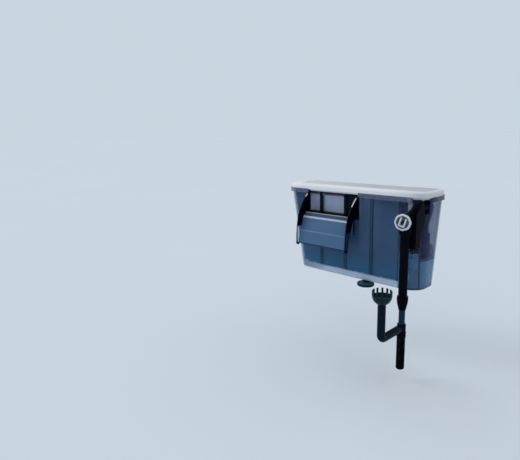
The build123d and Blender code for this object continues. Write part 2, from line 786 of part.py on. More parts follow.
for name, low, high, blind in (
        ("lower_bush", well_bottom - bush_height / 2, well_bottom + bush_height / 2, bush_floor),
        ("upper_bush", eye_height, eye_height + spider_height, 0)):
    with BuildPart() as bush:
        with BuildSketch(Plane.XY.offset(low)):
            with Locations((pump_x, pump_y)):
                Circle(bush_radius)
        extrude(amount=high - low)
        with BuildSketch(Plane.XY.offset(low + blind)):
            with Locations((pump_x, pump_y)):
                Circle(shaft_radius + seat_gap)
        extrude(amount=high - low, mode=Mode.SUBTRACT)
    save(bush, name)

outlet_height = motor_top + outlet_radius + outlet_wall + 0.3
with BuildPart() as volute:
    with BuildSketch(Plane.XY.offset(motor_top)):
        with Locations((pump_x, pump_y)):
            Circle(volute_radius)
    extrude(amount=volute_height)
    with BuildSketch(Plane.XY.offset(volute_top)):
        with Locations((pump_x, pump_y)):
            Circle(inlet_spigot_radius)
    extrude(amount=inlet_height)
    with BuildSketch(Plane(origin=(pump_x, pump_y, outlet_height), x_dir=(0, 1, 0), z_dir=(-1, 0, 0))):
        Circle(outlet_radius + outlet_wall)
    extrude(amount=outlet_reach)
    with BuildSketch(Plane(origin=(pump_x, pump_y, outlet_height), x_dir=(0, 1, 0), z_dir=(-1, 0, 0))):
        Circle(outlet_radius)
    extrude(amount=outlet_reach, mode=Mode.SUBTRACT)
    with BuildSketch(Plane.XY.offset(motor_top)):
        with Locations((pump_x, pump_y)):
            Circle(volute_radius - volute_wall)
    extrude(amount=volute_height - volute_wall, mode=Mode.SUBTRACT)
    with BuildSketch(Plane.XY.offset(eye_height - 1)):
        with Locations((pump_x, pump_y)):
            Circle(inlet_spigot_radius - inlet_wall)
    extrude(amount=inlet_height + volute_wall + 2, mode=Mode.SUBTRACT)
    # spider that holds the upper bush in the eye
    with BuildSketch(Plane.XY.offset(eye_height)):
        with Locations((pump_x, pump_y)):
            Circle(spider_hub_radius)
            Rectangle(2 * inlet_spigot_radius - inlet_wall, spider_arm)
            Rectangle(spider_arm, 2 * inlet_spigot_radius - inlet_wall)
            Circle(bush_radius + seat_gap, mode=Mode.SUBTRACT)
    extrude(amount=spider_height)
save(volute, "volute")

with BuildPart() as inlet_sleeve:
    with BuildSketch(Plane.XY.offset(volute_top + 0.3)):
        with Locations((pump_x, pump_y)):
            Circle(sleeve_radius)
            Circle(inlet_spigot_radius + seat_gap, mode=Mode.SUBTRACT)
    extrude(amount=sleeve_rise)
    with BuildSketch(Plane.XY.offset(spigot_top)):
        with Locations((pump_x, pump_y)):
            Circle(leg_radius + seat_gap)
    extrude(amount=sleeve_rise, mode=Mode.SUBTRACT)
save(inlet_sleeve, "inlet_sleeve")

# ---------------------------------------------------------------- intake arm and its flow valve
valve_axis = Plane(origin=(intake_x, intake_y, valve_height),
                   x_dir=(cos(radians(knob_turn_in)), sin(radians(knob_turn_in)), 0),
                   z_dir=(sin(radians(knob_turn_in)), -cos(radians(knob_turn_in)), 0))
over_rim = (saddle_middle, glass_slot / 2, bend_over_glass)
arm_start = (intake_x, intake_y, valve_height - arm_drop)
knee = (pump_x + knee_lean, knee_y, knee_height)
with BuildPart() as intake_arm:
    with BuildLine() as arm_path:
        FilletPolyline(arm_start, over_rim, knee, (pump_x, pump_y, pipe_bottom + leg_straight),
                       (pump_x, pump_y, pipe_bottom),
                       radius=(rise_radius, bend_radius, bend_radius))
    with BuildSketch(Plane(origin=arm_path.line @ 0, z_dir=arm_path.line % 0)):
        Circle(leg_radius)
    sweep(path=arm_path.line)
    # valve body with a domed top and a boss for the spindle
    with BuildSketch(Plane.XY.offset(valve_socket_bottom)):
        with Locations((intake_x, intake_y)):
            Circle(valve_radius)
    extrude(amount=valve_top - valve_crown - valve_socket_bottom)
    with BuildSketch(Plane.XY.offset(valve_top - valve_crown)):
        with Locations((intake_x, intake_y)):
            Circle(valve_radius)
    extrude(amount=valve_crown, taper=40)
    with BuildSketch(valve_axis):
        Circle(boss_radius)
    extrude(amount=boss_reach)
    with BuildSketch(Plane(origin=arm_path.line @ 0, z_dir=arm_path.line % 0)):
        Circle(leg_radius - pipe_wall)
    sweep(path=arm_path.line, mode=Mode.SUBTRACT)
    with BuildSketch(Plane.XY.offset(valve_socket_bottom)):
        with Locations((intake_x, intake_y)):
            Circle(pipe_radius - pipe_wall)
    extrude(amount=valve_top - valve_socket_bottom - pipe_wall, mode=Mode.SUBTRACT)
    with BuildSketch(Plane.XY.offset(valve_socket_bottom)):
        with Locations((intake_x, intake_y)):
            Circle(pipe_radius - tube_end_relief + seat_gap)
    extrude(amount=tube_socket, mode=Mode.SUBTRACT)
    with BuildSketch(valve_axis):
        Circle(spindle_radius + running_gap)
    extrude(amount=boss_reach + 1, mode=Mode.SUBTRACT)
    with BuildSketch(valve_axis.offset(boss_reach - seal_depth)):
        Circle(seal_radius + running_gap)
    extrude(amount=seal_depth + 1, mode=Mode.SUBTRACT)
save(intake_arm, "intake_arm")

with BuildPart() as valve_vane:
    with BuildSketch(Plane(origin=valve_axis.origin, x_dir=(0, 0, 1), z_dir=valve_axis.x_dir)):
        Circle(pipe_radius - pipe_wall - vane_gap)
    extrude(amount=vane_thickness / 2, both=True)
    with BuildSketch(valve_axis.offset(-pipe_radius / 2)):
        Circle(spindle_radius)
    extrude(amount=pipe_radius / 2 + boss_reach + knob_gap + knob_thickness / 2)
save(valve_vane, "valve_vane")

with BuildPart() as knob_seal:
    with BuildSketch(valve_axis.offset(boss_reach - seal_depth + 0.1)):
        Circle(seal_radius)
        Circle(spindle_radius + seat_gap, mode=Mode.SUBTRACT)
    extrude(amount=seal_depth - 0.1)
save(knob_seal, "knob_seal")

knob_base = valve_axis.offset(boss_reach + knob_gap)
with BuildPart() as flow_knob:
    with BuildSketch(knob_base) as knob_face:
        RegularPolygon(radius=knob_radius, side_count=knob_sides)
        fillet(knob_face.vertices(), knob_corner)
    extrude(amount=knob_thickness)
    chamfer(flow_knob.faces().sort_by(Axis(valve_axis.origin, valve_axis.z_dir))[-1].edges(), knob_edge)
    # dished front with a grip bar across it
    with BuildSketch(knob_base.offset(knob_thickness - knob_recess)):
        Circle(knob_recess_radius)
        Rectangle(knob_grip, 2 * knob_recess_radius, mode=Mode.SUBTRACT)
    extrude(amount=knob_recess + 1, mode=Mode.SUBTRACT)
    with BuildSketch(knob_base):
        Circle(spindle_radius + seat_gap)
    extrude(amount=knob_thickness / 2 + seat_gap, mode=Mode.SUBTRACT)
save(flow_knob, "flow_knob")

# ---------------------------------------------------------------- saddle that carries the intake
with BuildPart() as intake_saddle:
    saddle_rear = front_at(0)
    notch_rear = front_at(notch_floor)
    nose_front = glass_inner - nose_reach
    # hook: an upright in the notch, a bridge over the glass and a plate behind it
    with BuildSketch(Plane.YZ.offset(saddle_left)):
        with BuildLine():
            Polyline((saddle_rear, 0), (notch_rear, notch_floor), (notch_rear, bend_over_glass),
                     (notch_rear - saddle_web, bend_over_glass), (notch_rear - saddle_web, saddle_bridge),
                     (glass_inner - saddle_plate, saddle_bridge),
                     (glass_inner - saddle_plate, -saddle_drop), (glass_inner, -saddle_drop),
                     (glass_inner, 0), close=True)
        make_face()
    extrude(amount=saddle_right - saddle_left)
    # low left cheek, and a right cheek that rises beside the arm
    with BuildSketch(Plane.YZ.offset(saddle_left)):
        with BuildLine():
            Polyline((glass_inner - saddle_plate / 2, -saddle_drop), (nose_front, -saddle_drop),
                     (nose_front, nose_top), (notch_rear - saddle_web / 2, cheek_shoulder),
                     (notch_rear - saddle_web / 2, saddle_bridge / 2),
                     (glass_inner - saddle_plate / 2, saddle_bridge / 2), close=True)
        make_face()
    extrude(amount=saddle_web)
    with BuildSketch(Plane.YZ.offset(saddle_right - saddle_web)):
        with BuildLine():
            Polyline((glass_inner - saddle_plate / 2, -saddle_drop), (nose_front, -saddle_drop),
                     (nose_front, cheek_shoulder), *cheek_crown,
                     (notch_rear - saddle_web / 2, bend_over_glass),
                     (notch_rear - saddle_web / 2, saddle_bridge / 2),
                     (glass_inner - saddle_plate / 2, saddle_bridge / 2), close=True)
        make_face()
    extrude(amount=saddle_web)
    # front plate of the nose
    with Locations((saddle_left, nose_front, -saddle_drop)):
        Box(saddle_width, saddle_web, nose_top + saddle_drop, align=(Align.MIN, Align.MIN, Align.MIN))
    # trough for the arm
    with BuildSketch(Plane(origin=arm_path.line @ 0, z_dir=arm_path.line % 0)):
        Circle(leg_radius + saddle_gap)
    sweep(path=arm_path.line, mode=Mode.SUBTRACT)
save(intake_saddle, "intake_saddle")

# ---------------------------------------------------------------- telescopic tube
tube_top = valve_socket_bottom + tube_socket
with BuildPart() as outer_tube:
    with BuildSketch(Plane.XY.offset(outer_tube_end)):
        with Locations((intake_x, intake_y)):
            Circle(pipe_radius - tube_end_relief)
    extrude(amount=tube_top - outer_tube_end)
    with BuildSketch(Plane.XY.offset(collar_top)):
        with Locations((intake_x, intake_y)):
            Circle(pipe_radius)
    extrude(amount=valve_socket_bottom - collar_top)
    with BuildSketch(Plane.XY.offset(outer_tube_end)):
        with Locations((intake_x, intake_y)):
            Circle(pipe_radius - pipe_wall)
    extrude(amount=tube_top - outer_tube_end, mode=Mode.SUBTRACT)
save(outer_tube, "outer_tube")

tube_axis = Axis((intake_x, intake_y, 0), (0, 0, 1))
tube_plane = Plane(origin=(intake_x, intake_y, 0), x_dir=(1, 0, 0), z_dir=(0, -1, 0))
ledge = outer_tube_end - 0.3
seal_top = ledge - 1.2
seal_bottom = seal_top - collar_seal_height
with BuildPart() as collar:
    with BuildSketch(tube_plane):
        with BuildLine():
            Polyline((collar_throat, collar_top), (collar_radius, collar_top),
                     (collar_radius + 0.2, collar_top - collar_slot_depth),
                     (collar_radius - 0.6, ledge), (collar_foot_radius, collar_bottom + 1.5),
                     (collar_foot_radius, collar_bottom), (extension_radius + running_gap, collar_bottom),
                     (extension_radius + running_gap, seal_bottom),
                     (extension_radius + collar_seal_width, seal_bottom),
                     (extension_radius + collar_seal_width, seal_top),
                     (pipe_radius - pipe_wall, seal_top), (pipe_radius - pipe_wall, ledge),
                     (pipe_radius - tube_end_relief + running_gap, ledge),
                     (pipe_radius - tube_end_relief + running_gap, collar_top - collar_slot_depth),
                     close=True)
        make_face()
    revolve(axis=tube_axis)
    with Locations((intake_x, intake_y, collar_top - collar_slot_depth / 2)):
        with PolarLocations(collar_radius, collar_slots):
            Box(2 * collar_radius - 2 * pipe_radius + 4, collar_slot_width, collar_slot_depth + 0.2,
                mode=Mode.SUBTRACT)
save(collar, "collar")

with BuildPart() as collar_seal:
    with BuildSketch(Plane.XY.offset(seal_bottom + 0.1)):
        with Locations((intake_x, intake_y)):
            Circle(extension_radius + collar_seal_width - 0.1)
            Circle(extension_radius + running_gap, mode=Mode.SUBTRACT)
    extrude(amount=collar_seal_height - 0.2)
save(collar_seal, "collar_seal")

tee_bottom = tee_top - tee_height
arm_height = (tee_top + tee_bottom) / 2
strainer_top = tee_bottom - 0.3
extension_bottom = strainer_top - strainer_cap_height * 0.7
with BuildPart() as extension_tube:
    with BuildSketch(Plane.XY.offset(extension_bottom)):
        with Locations((intake_x, intake_y)):
            Circle(extension_radius)
            Circle(extension_radius - extension_wall, mode=Mode.SUBTRACT)
    extrude(amount=extension_top - extension_bottom)
    # windows that let the skimmer's water in, inside the tee
    with Locations((intake_x, intake_y, (tee_top + tee_bottom) / 2)):
        Box(window_width, 3 * extension_radius, tee_height - 2 * tee_land - 2, mode=Mode.SUBTRACT)
save(extension_tube, "extension_tube")

# ---------------------------------------------------------------- skimmer
with BuildPart() as tee:
    with BuildSketch(Plane.XY.offset(tee_bottom)):
        with Locations((intake_x, intake_y)):
            Circle(tee_radius)
    extrude(amount=tee_height)
    with BuildSketch(Plane.XZ.offset(-intake_y)):
        with Locations((intake_x, arm_height)):
            Circle(arm_radius)
    extrude(amount=tee_reach)
    with BuildSketch(Plane.XY.offset(tee_bottom)):
        with Locations((intake_x, intake_y)):
            Circle(extension_radius + running_gap)
    extrude(amount=tee_height, mode=Mode.SUBTRACT)
    with BuildSketch(Plane.XY.offset(tee_bottom + tee_land)):
        with Locations((intake_x, intake_y)):
            Circle(tee_radius - arm_wall / 2)
    extrude(amount=tee_height - 2 * tee_land, mode=Mode.SUBTRACT)
    with BuildSketch(Plane.XZ.offset(-intake_y)):
        with Locations((intake_x, arm_height)):
            Circle(arm_radius - arm_wall)
    extrude(amount=tee_reach, mode=Mode.SUBTRACT)
save(tee, "tee")

arm_end = intake_y - tee_reach
with BuildPart() as skimmer_arm:
    with BuildLine() as riser_path:
        FilletPolyline((intake_x, arm_end, arm_height), (intake_x, skimmer_y, arm_height),
                       (intake_x, skimmer_y, cup_bottom), radius=arm_bend)
    with BuildSketch(Plane(origin=riser_path.line @ 0, z_dir=riser_path.line % 0)):
        Circle(arm_radius)
    sweep(path=riser_path.line)
    with BuildSketch(Plane(origin=riser_path.line @ 0, z_dir=riser_path.line % 0)):
        Circle(arm_radius - arm_wall)
    sweep(path=riser_path.line, mode=Mode.SUBTRACT)
    # thick root inside the arm's end, and the spigot that enters the tee
    with BuildSketch(Plane.XZ.offset(-arm_end)):
        with Locations((intake_x, arm_height)):
            Circle(arm_radius - arm_wall / 2)
            Circle(arm_radius - 2 * arm_wall, mode=Mode.SUBTRACT)
    extrude(amount=arm_spigot / 2)
    with BuildSketch(Plane.XZ.offset(-arm_end)):
        with Locations((intake_x, arm_height)):
            Circle(arm_radius - arm_wall - seat_gap)
            Circle(arm_radius - 2 * arm_wall, mode=Mode.SUBTRACT)
    extrude(amount=-arm_spigot)
save(skimmer_arm, "skimmer_arm")

cup_axis = Axis((intake_x, skimmer_y, 0), (0, 0, 1))
cup_plane = Plane(origin=(intake_x, skimmer_y, 0), x_dir=(1, 0, 0), z_dir=(0, -1, 0))
stem_radius = arm_radius - arm_wall - running_gap
rim_height_of_cup = cup_bottom + bowl_height
with BuildPart() as skimmer_cup:
    with BuildSketch(cup_plane):
        with BuildLine():
            Spline((arm_radius, cup_bottom), (cup_radius - 3, cup_bottom + bowl_height * 0.4),
                   (cup_radius, rim_height_of_cup))
            Line((cup_radius, rim_height_of_cup), (cup_radius, rim_height_of_cup + tooth_height))
            Line((cup_radius, rim_height_of_cup + tooth_height),
                 (cup_radius - cup_wall, rim_height_of_cup + tooth_height))
            Line((cup_radius - cup_wall, rim_height_of_cup + tooth_height),
                 (cup_radius - cup_wall, rim_height_of_cup))
            Spline((cup_radius - cup_wall, rim_height_of_cup),
                   (cup_radius - 3 - cup_wall, cup_bottom + bowl_height * 0.4 + 1),
                   (stem_radius - stem_wall, cup_bottom + cup_wall))
            Polyline((stem_radius - stem_wall, cup_bottom + cup_wall),
                     (stem_radius - stem_wall, cup_bottom - stem_length),
                     (stem_radius, cup_bottom - stem_length), (stem_radius, cup_bottom + 0.1),
                     (arm_radius, cup_bottom + 0.1), (arm_radius, cup_bottom))
        make_face()
    revolve(axis=cup_axis)
    # gaps between the teeth of the crown
    gap_width = 2 * pi * (cup_radius - cup_wall / 2) / cup_teeth - cup_tooth_width
    with Locations((intake_x, skimmer_y, rim_height_of_cup + tooth_height / 2 + 0.5)):
        with PolarLocations(cup_radius, cup_teeth, start_angle=180 / cup_teeth):
            Box(3 * cup_wall, gap_width, tooth_height + 1, mode=Mode.SUBTRACT)
    # cross of ribs over the throat, so that no fish gets in
    with BuildSketch(Plane.XY.offset(cup_bottom)):
        with Locations((intake_x, skimmer_y)):
            Rectangle(2 * stem_radius - stem_wall, cup_rib)
            Rectangle(cup_rib, 2 * stem_radius - stem_wall)
    extrude(amount=cup_wall)
save(skimmer_cup, "skimmer_cup")

# ---------------------------------------------------------------- strainer
strainer_bottom = strainer_top - strainer_cap_height - strainer_length
with BuildPart() as strainer:
    with BuildSketch(Plane.XY.offset(strainer_top)):
        with Locations((intake_x, intake_y)):
            Circle(strainer_cap_radius)
    extrude(amount=-strainer_cap_height)
    with BuildSketch(Plane.XY.offset(strainer_top - strainer_cap_height)):
        with Locations((intake_x, intake_y)):
            Circle(strainer_radius)
    extrude(amount=-strainer_length)
    chamfer(strainer.faces().sort_by(Axis.Z)[0].edges(), strainer_wall)
    with BuildSketch(Plane.XY.offset(strainer_top)):
        with Locations((intake_x, intake_y)):
            Circle(extension_radius + running_gap)
    extrude(amount=extension_bottom - 0.2 - strainer_top, mode=Mode.SUBTRACT)
    with BuildSketch(Plane.XY.offset(extension_bottom - 0.2)):
        with Locations((intake_x, intake_y)):
            Circle(strainer_radius - strainer_wall)
    extrude(amount=strainer_bottom + strainer_wall - extension_bottom + 0.2, mode=Mode.SUBTRACT)
    # slots, in rows round the tube
    row_pitch = strainer_slot_length + strainer_slot_gap
    for row in range(strainer_rows):
        row_middle = strainer_top - strainer_cap_height - row_pitch * (row + 0.5)
        with Locations((intake_x, intake_y, row_middle)):
            with PolarLocations(strainer_radius, strainer_columns):
                Box(3 * strainer_wall, strainer_slot_width, strainer_slot_length, mode=Mode.SUBTRACT)
save(strainer, "strainer")

# ---------------------------------------------------------------- levelling cam
disc_x, disc_y = along((cam_x, cam_pin_y), cam_aim, cam_throw)
cam_bottom = cam_plane - cam_thickness
with BuildPart() as levelling_cam:
    with BuildSketch(Plane.XY.offset(cam_bottom)):
        with Locations((disc_x, disc_y)):
            Circle(cam_radius)
    extrude(amount=cam_thickness)
    fillet(levelling_cam.edges().filter_by(GeomType.CIRCLE), cam_thickness * 0.3)
    with BuildSketch(Plane.XY.offset(cam_plane - cam_thickness / 2)):
        with Locations((cam_x, cam_pin_y)):
            Circle(cam_hub_radius)
    extrude(amount=cam_thickness / 2 + cam_hub_height + cam_hub_depth)
    with BuildSketch(Plane.XY.offset(cam_bottom)):
        with Locations((cam_x, cam_pin_y)):
            Circle(cam_pin_radius + running_gap)
    extrude(amount=cam_thickness + cam_hub_height + cam_hub_depth, mode=Mode.SUBTRACT)
    with BuildSketch(Plane.XY.offset(cam_bottom)):
        with Locations((cam_x, cam_pin_y)):
            Circle(cam_head_radius + cam_socket_gap)
    extrude(amount=cam_head_height + cam_socket_gap, mode=Mode.SUBTRACT)
save(levelling_cam, "levelling_cam")

with BuildPart() as cam_pin:
    with BuildSketch(Plane.XY.offset(cam_bottom)):
        with Locations((cam_x, cam_pin_y)):
            Circle(cam_head_radius)
    extrude(amount=cam_head_height)
    with BuildSketch(Plane.XY.offset(cam_bottom)):
        with Locations((cam_x, cam_pin_y)):
            Circle(cam_pin_radius)
    extrude(amount=socket_top + cam_boss_height - cam_socket_wall - cam_bottom)
save(cam_pin, "cam_pin")

# ---------------------------------------------------------------- cord gland
wall_outer = rear_at(gland_height)
wall_inner = rear_at(gland_height, wall)
with BuildPart() as cord_gland:
    with BuildSketch(Plane(origin=(gland_x, wall_inner - gland_gap - gland_flange, gland_height),
                           x_dir=(1, 0, 0), z_dir=(0, 1, 0))):
        Rectangle(gland_neck - 2 * seat_gap, gland_neck - 2 * seat_gap)
    extrude(amount=wall + 2 * gland_gap + 2 * gland_flange)
    with BuildSketch(Plane(origin=(gland_x, wall_inner - gland_gap - gland_flange, gland_height),
                           x_dir=(1, 0, 0), z_dir=(0, 1, 0))):
        Circle(gland_flange_radius)
    extrude(amount=gland_flange)
    with BuildSketch(Plane(origin=(gland_x, wall_outer + gland_gap, gland_height),
                           x_dir=(1, 0, 0), z_dir=(0, 1, 0))):
        Circle(gland_flange_radius)
    extrude(amount=gland_flange)
    with BuildSketch(Plane(origin=(gland_x, wall_outer + gland_gap + gland_flange, gland_height),
                           x_dir=(1, 0, 0), z_dir=(0, 1, 0))):
        Circle(gland_tail_radius)
    extrude(amount=gland_tail, taper=8)
    with BuildSketch(Plane(origin=(gland_x, wall_inner - gland_gap - gland_flange - 1, gland_height),
                           x_dir=(1, 0, 0), z_dir=(0, 1, 0))):
        Circle(gland_bore)
    extrude(amount=wall + 2 * gland_gap + 2 * gland_flange + gland_tail + 2, mode=Mode.SUBTRACT)
save(cord_gland, "cord_gland")
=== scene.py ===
# %% [markdown]
# # A hang-on-back aquarium filter
#
# A clear box hangs on the outside of an aquarium. A pump in its broad end lifts water up a black
# intake tube, the water runs along the box through four baskets of filter media, and it falls back
# over a ramp. The hard pieces come from the construction model and are never moved here. This
# lesson gives them their plastics and metals, and it makes the soft media and the flow knob's clear
# cap as surfaces of their own.

# %% Load the construction model
from math import cos, pi, radians, sin

import bpy
import numpy as np
from mathutils import Matrix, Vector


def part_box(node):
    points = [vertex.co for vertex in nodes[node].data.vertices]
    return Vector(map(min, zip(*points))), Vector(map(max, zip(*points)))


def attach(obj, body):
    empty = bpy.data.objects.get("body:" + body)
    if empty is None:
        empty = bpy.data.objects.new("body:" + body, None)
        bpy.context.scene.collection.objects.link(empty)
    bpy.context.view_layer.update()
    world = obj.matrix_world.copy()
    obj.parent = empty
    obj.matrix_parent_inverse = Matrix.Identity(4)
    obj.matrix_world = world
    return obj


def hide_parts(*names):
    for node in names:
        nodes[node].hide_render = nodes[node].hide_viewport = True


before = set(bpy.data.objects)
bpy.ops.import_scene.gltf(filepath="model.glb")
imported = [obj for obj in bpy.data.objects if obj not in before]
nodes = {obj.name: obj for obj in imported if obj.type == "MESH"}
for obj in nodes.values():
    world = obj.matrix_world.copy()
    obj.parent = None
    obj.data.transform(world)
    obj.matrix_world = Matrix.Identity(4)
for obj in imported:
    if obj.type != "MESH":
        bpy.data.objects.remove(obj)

scene = bpy.context.scene
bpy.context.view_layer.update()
print("the construction model has", len(nodes), "nodes")

# %% [markdown]
# ## The camera
#
# A product of this kind is usually shown from a little above and well round to one end, so that the
# long front and the pump end are both seen. Three angles turn the camera: round the object, down
# towards it, and a slight tilt. The lens is given in pixels: how far from the eye a picture of this
# width would be hung to look right.

# %% Camera
picture_width = 520
focal_pixels = 477.7
sensor_width = 36.0
camera_turn = radians(45.62)
camera_dip = radians(11.78)
camera_tilt = radians(-1.39)
camera_place = (0.5587, -0.7971, 0.1784)

ahead = np.array([-sin(camera_turn) * cos(camera_dip), cos(camera_turn) * cos(camera_dip),
                  -sin(camera_dip)])
level = np.array([cos(camera_turn), sin(camera_turn), 0.0])
upright = np.cross(level, ahead)
right = level * cos(camera_tilt) + upright * sin(camera_tilt)
up = upright * cos(camera_tilt) - level * sin(camera_tilt)

camera = bpy.data.objects.new("camera", bpy.data.cameras.new("camera"))
camera.data.sensor_width = sensor_width
camera.data.lens = sensor_width * focal_pixels / picture_width
camera.data.clip_start = 0.01
camera.matrix_world = Matrix([[right[i], up[i], -ahead[i], camera_place[i]] for i in range(3)]
                             + [[0.0, 0.0, 0.0, 1.0]])
scene.collection.objects.link(camera)
scene.camera = camera
scene.view_settings.view_transform = "Standard"
print("lens", round(camera.data.lens, 1), "mm")

# %% [markdown]
# ## Shader sums
#
# A finish is built from nodes, and most of them are sums: a mask times a strength plus a base.
# Written out as nodes these are hard to read. Signal wraps one socket and gives it the ordinary
# operators, so that `0.3 + 0.1 * grain` adds its own Math nodes. Everything that isn't a sum comes
# from one method, Finish.node.


# %% Signals
class Signal:
    """One output socket. Each operator adds a Math node and gives that node's output as a Signal."""

    def __init__(self, finish, socket):
        self.finish = finish
        self.socket = socket

    def math(self, operation, first, second=0.0):
        return self.finish.node("ShaderNodeMath", {"operation": operation}, {0: first, 1: second})

    def __add__(self, other):
        return self.math("ADD", self, other)

    def __sub__(self, other):
        return self.math("SUBTRACT", self, other)

    def __rsub__(self, other):
        return self.math("SUBTRACT", other, self)

    def __mul__(self, other):
        return self.math("MULTIPLY", self, other)

    def __gt__(self, other):
        return self.math("GREATER_THAN", self, other)

    def __lt__(self, other):
        return self.math("LESS_THAN", self, other)

    def __pow__(self, other):
        return self.math("POWER", self, other)

    def __abs__(self):
        return self.math("ABSOLUTE", self)

    __radd__ = __add__
    __rmul__ = __mul__


# %% [markdown]
# ## Finishes
#
# A finish is one material, or the world's sky, which is a tree of the same kind of nodes. The
# methods below are the few things that every finish here needs: where a point lies, how its surface
# faces, masks, noise, coats of colour, and the last nodes of an opaque or a clear plastic.


# %% Finishes
class Finish:
    """The nodes of a material or a world. node() adds any node: first its settings, then its sockets."""

    def __init__(self, owner):
        self.owner = owner
        owner.use_nodes = True
        self.tree = owner.node_tree
        self.tree.nodes.clear()

    def node(self, kind, settings=None, sockets=None, output=0):
        """A socket gets a Signal's link or a value, and a colour is given as three numbers."""
        made = self.tree.nodes.new(kind)
        for key, value in (settings or {}).items():
            if key == "stops":
                ramp = made.color_ramp.elements
                while len(ramp) < len(value):
                    ramp.new(0.5)
                for stop, (place, colour) in zip(ramp, value):
                    stop.position = place
                    stop.color = (*colour, 1.0)
            else:
                setattr(made, key, value)
        for key, value in (sockets or {}).items():
            socket = made.inputs[key]
            if isinstance(value, Signal):
                self.tree.links.new(value.socket, socket)
            else:
                socket.default_value = (*value, 1.0) if socket.type == "RGBA" else value
        return Signal(self, made.outputs[output])

    def place(self):
        """Object coordinates, which are the model's own metres."""
        return self.node("ShaderNodeTexCoord", output="Object")

    def axis(self, letter):
        """One of the object coordinates, as a number."""
        return self.node("ShaderNodeSeparateXYZ", sockets={0: self.place()}, output=letter)

    def facing(self, letter):
        """How far the surface faces along one axis, from -1 to 1."""
        normal = self.node("ShaderNodeNewGeometry", output="Normal")
        return self.node("ShaderNodeSeparateXYZ", sockets={0: normal}, output=letter)

    def graze(self, blend):
        """Nought where the wall is seen face on and 1 where it is seen along its surface."""
        return self.node("ShaderNodeLayerWeight", sockets={"Blend": blend}, output="Facing")

    def ramp(self, value, first, last, low=0.0, high=1.0):
        """`low` at the value `first` and before, `high` at `last` and after, and a straight line between."""
        return self.node("ShaderNodeMapRange", sockets={0: value, 1: first, 2: last, 3: low, 4: high})

    def near(self, distance, reach):
        """1 where a distance is about nought, and 0 beyond the reach."""
        return self.ramp(abs(distance), 0.4 * reach, reach, 1.0, 0.0)

    def noise(self, scale, detail=2.0, along=None, rough=0.5):
        """Soft noise between 0 and 1 with about `scale` blobs to the metre, or with its place
        multiplied along each axis by `along` first, so that a small number draws the blobs out."""
        vector = self.place()
        if along:
            vector = self.node("ShaderNodeMapping", sockets={"Vector": vector, "Scale": along})
        return self.node("ShaderNodeTexNoise", sockets={"Vector": vector, "Scale": scale,
                                                        "Detail": detail, "Roughness": rough})

    def mix(self, factor, first, second):
        """A colour between two others."""
        return self.node("ShaderNodeMix", {"data_type": "RGBA"}, {0: factor, 6: first, 7: second}, output=2)

    def coats(self, tone, *layers):
        """Colours laid over a first one in turn, each as strongly as its mask says."""
        for mask, colour in layers:
            tone = self.mix(mask, tone, colour)
        return tone

    def bump(self, height, strength, distance=0.001):
        """A Bump node's normal, for a height between 0 and 1 that stands for a distance in metres."""
        return self.node("ShaderNodeBump", sockets={"Height": height, "Strength": strength,
                                                    "Distance": distance})

    def shown(self, shader, kind="Material"):
        """Show a shader on a material's surface, or a world's, and give that material or world."""
        output = self.tree.nodes.new(f"ShaderNodeOutput{kind}")
        self.tree.links.new(shader.socket, output.inputs["Surface"])
        return self.owner

    def shader(self, **sockets):
        """A Principled node: its sockets are named with underscores, as in Base_Color."""
        return self.node("ShaderNodeBsdfPrincipled", None,
                         {key.replace("_", " "): value for key, value in sockets.items()})

    def principled(self, **sockets):
        """The last nodes of an opaque finish."""
        return self.shown(self.shader(**sockets))

    def see_through(self, body, tint, **sockets):
        """The last nodes of a clear finish: `body` of the light stops at it, the rest passes tinted."""
        window = self.node("ShaderNodeBsdfTransparent", sockets={"Color": tint})
        return self.shown(self.node("ShaderNodeMixShader",
                                    sockets={0: body, 1: window, 2: self.shader(**sockets)}))


def new_finish(name):
    """The empty finish of a new material."""
    return Finish(bpy.data.materials.new(name))


# %% [markdown]
# ## The sky
#
# The filter is shown against a plain pale wall, as a catalogue would show it. The wall is what the
# eye sees past it, and what glossy and clear plastics mirror and let through. What lights the
# plastics is a dome that is bright overhead and dim low down, which gives every rounded edge a soft
# step of tone.

# %% World
wall_colour = (0.584, 0.667, 0.745)
dome_low = (0.50, 0.52, 0.55)
dome_high = (0.74, 0.755, 0.78)
dome_stops = [(0.42, dome_low), (0.85, dome_high)]  # from 0, straight down, to 1, straight up

scene.world = bpy.data.worlds.new("studio")
sky = Finish(scene.world)
direction = sky.node("ShaderNodeTexCoord", output="Generated")
upness = 0.5 + 0.5 * sky.node("ShaderNodeSeparateXYZ", sockets={0: direction}, output="Z")
dome = sky.node("ShaderNodeValToRGB", {"stops": dome_stops}, {0: upness})
seen = sum(sky.node("ShaderNodeLightPath", output=f"Is {kind} Ray")
           for kind in ("Camera", "Glossy", "Transmission")) > 0.5
sky.shown(sky.node("ShaderNodeBackground", sockets={0: sky.mix(seen, dome, wall_colour)}), "World")
print("the dome is brightest from", round(2 * dome_stops[1][0] - 1, 2), "of the way up")

# %% [markdown]
# ## Suns and floor
#
# Two broad suns from the left, one in front and one behind, draw bright lines along the edges that
# turn towards them. The floor is matt paper near the wall's tone, so the filter seems to hang free.


# %% Suns and floor
def sun(name, strength, turn, rise, width):
    """A sun: its strength, compass turn, rise above the horizon and width, the last three in degrees."""
    light = bpy.data.objects.new(name, bpy.data.lights.new(name, "SUN"))
    light.data.energy = strength
    light.data.angle = radians(width)
    light.rotation_euler = (radians(90 - rise), 0.0, radians(turn))
    scene.collection.objects.link(light)


sun("front_left_sun", 0.60, -56.4, 33, 30)
sun("back_left_sun", 0.15, -116.6, 40, 20)

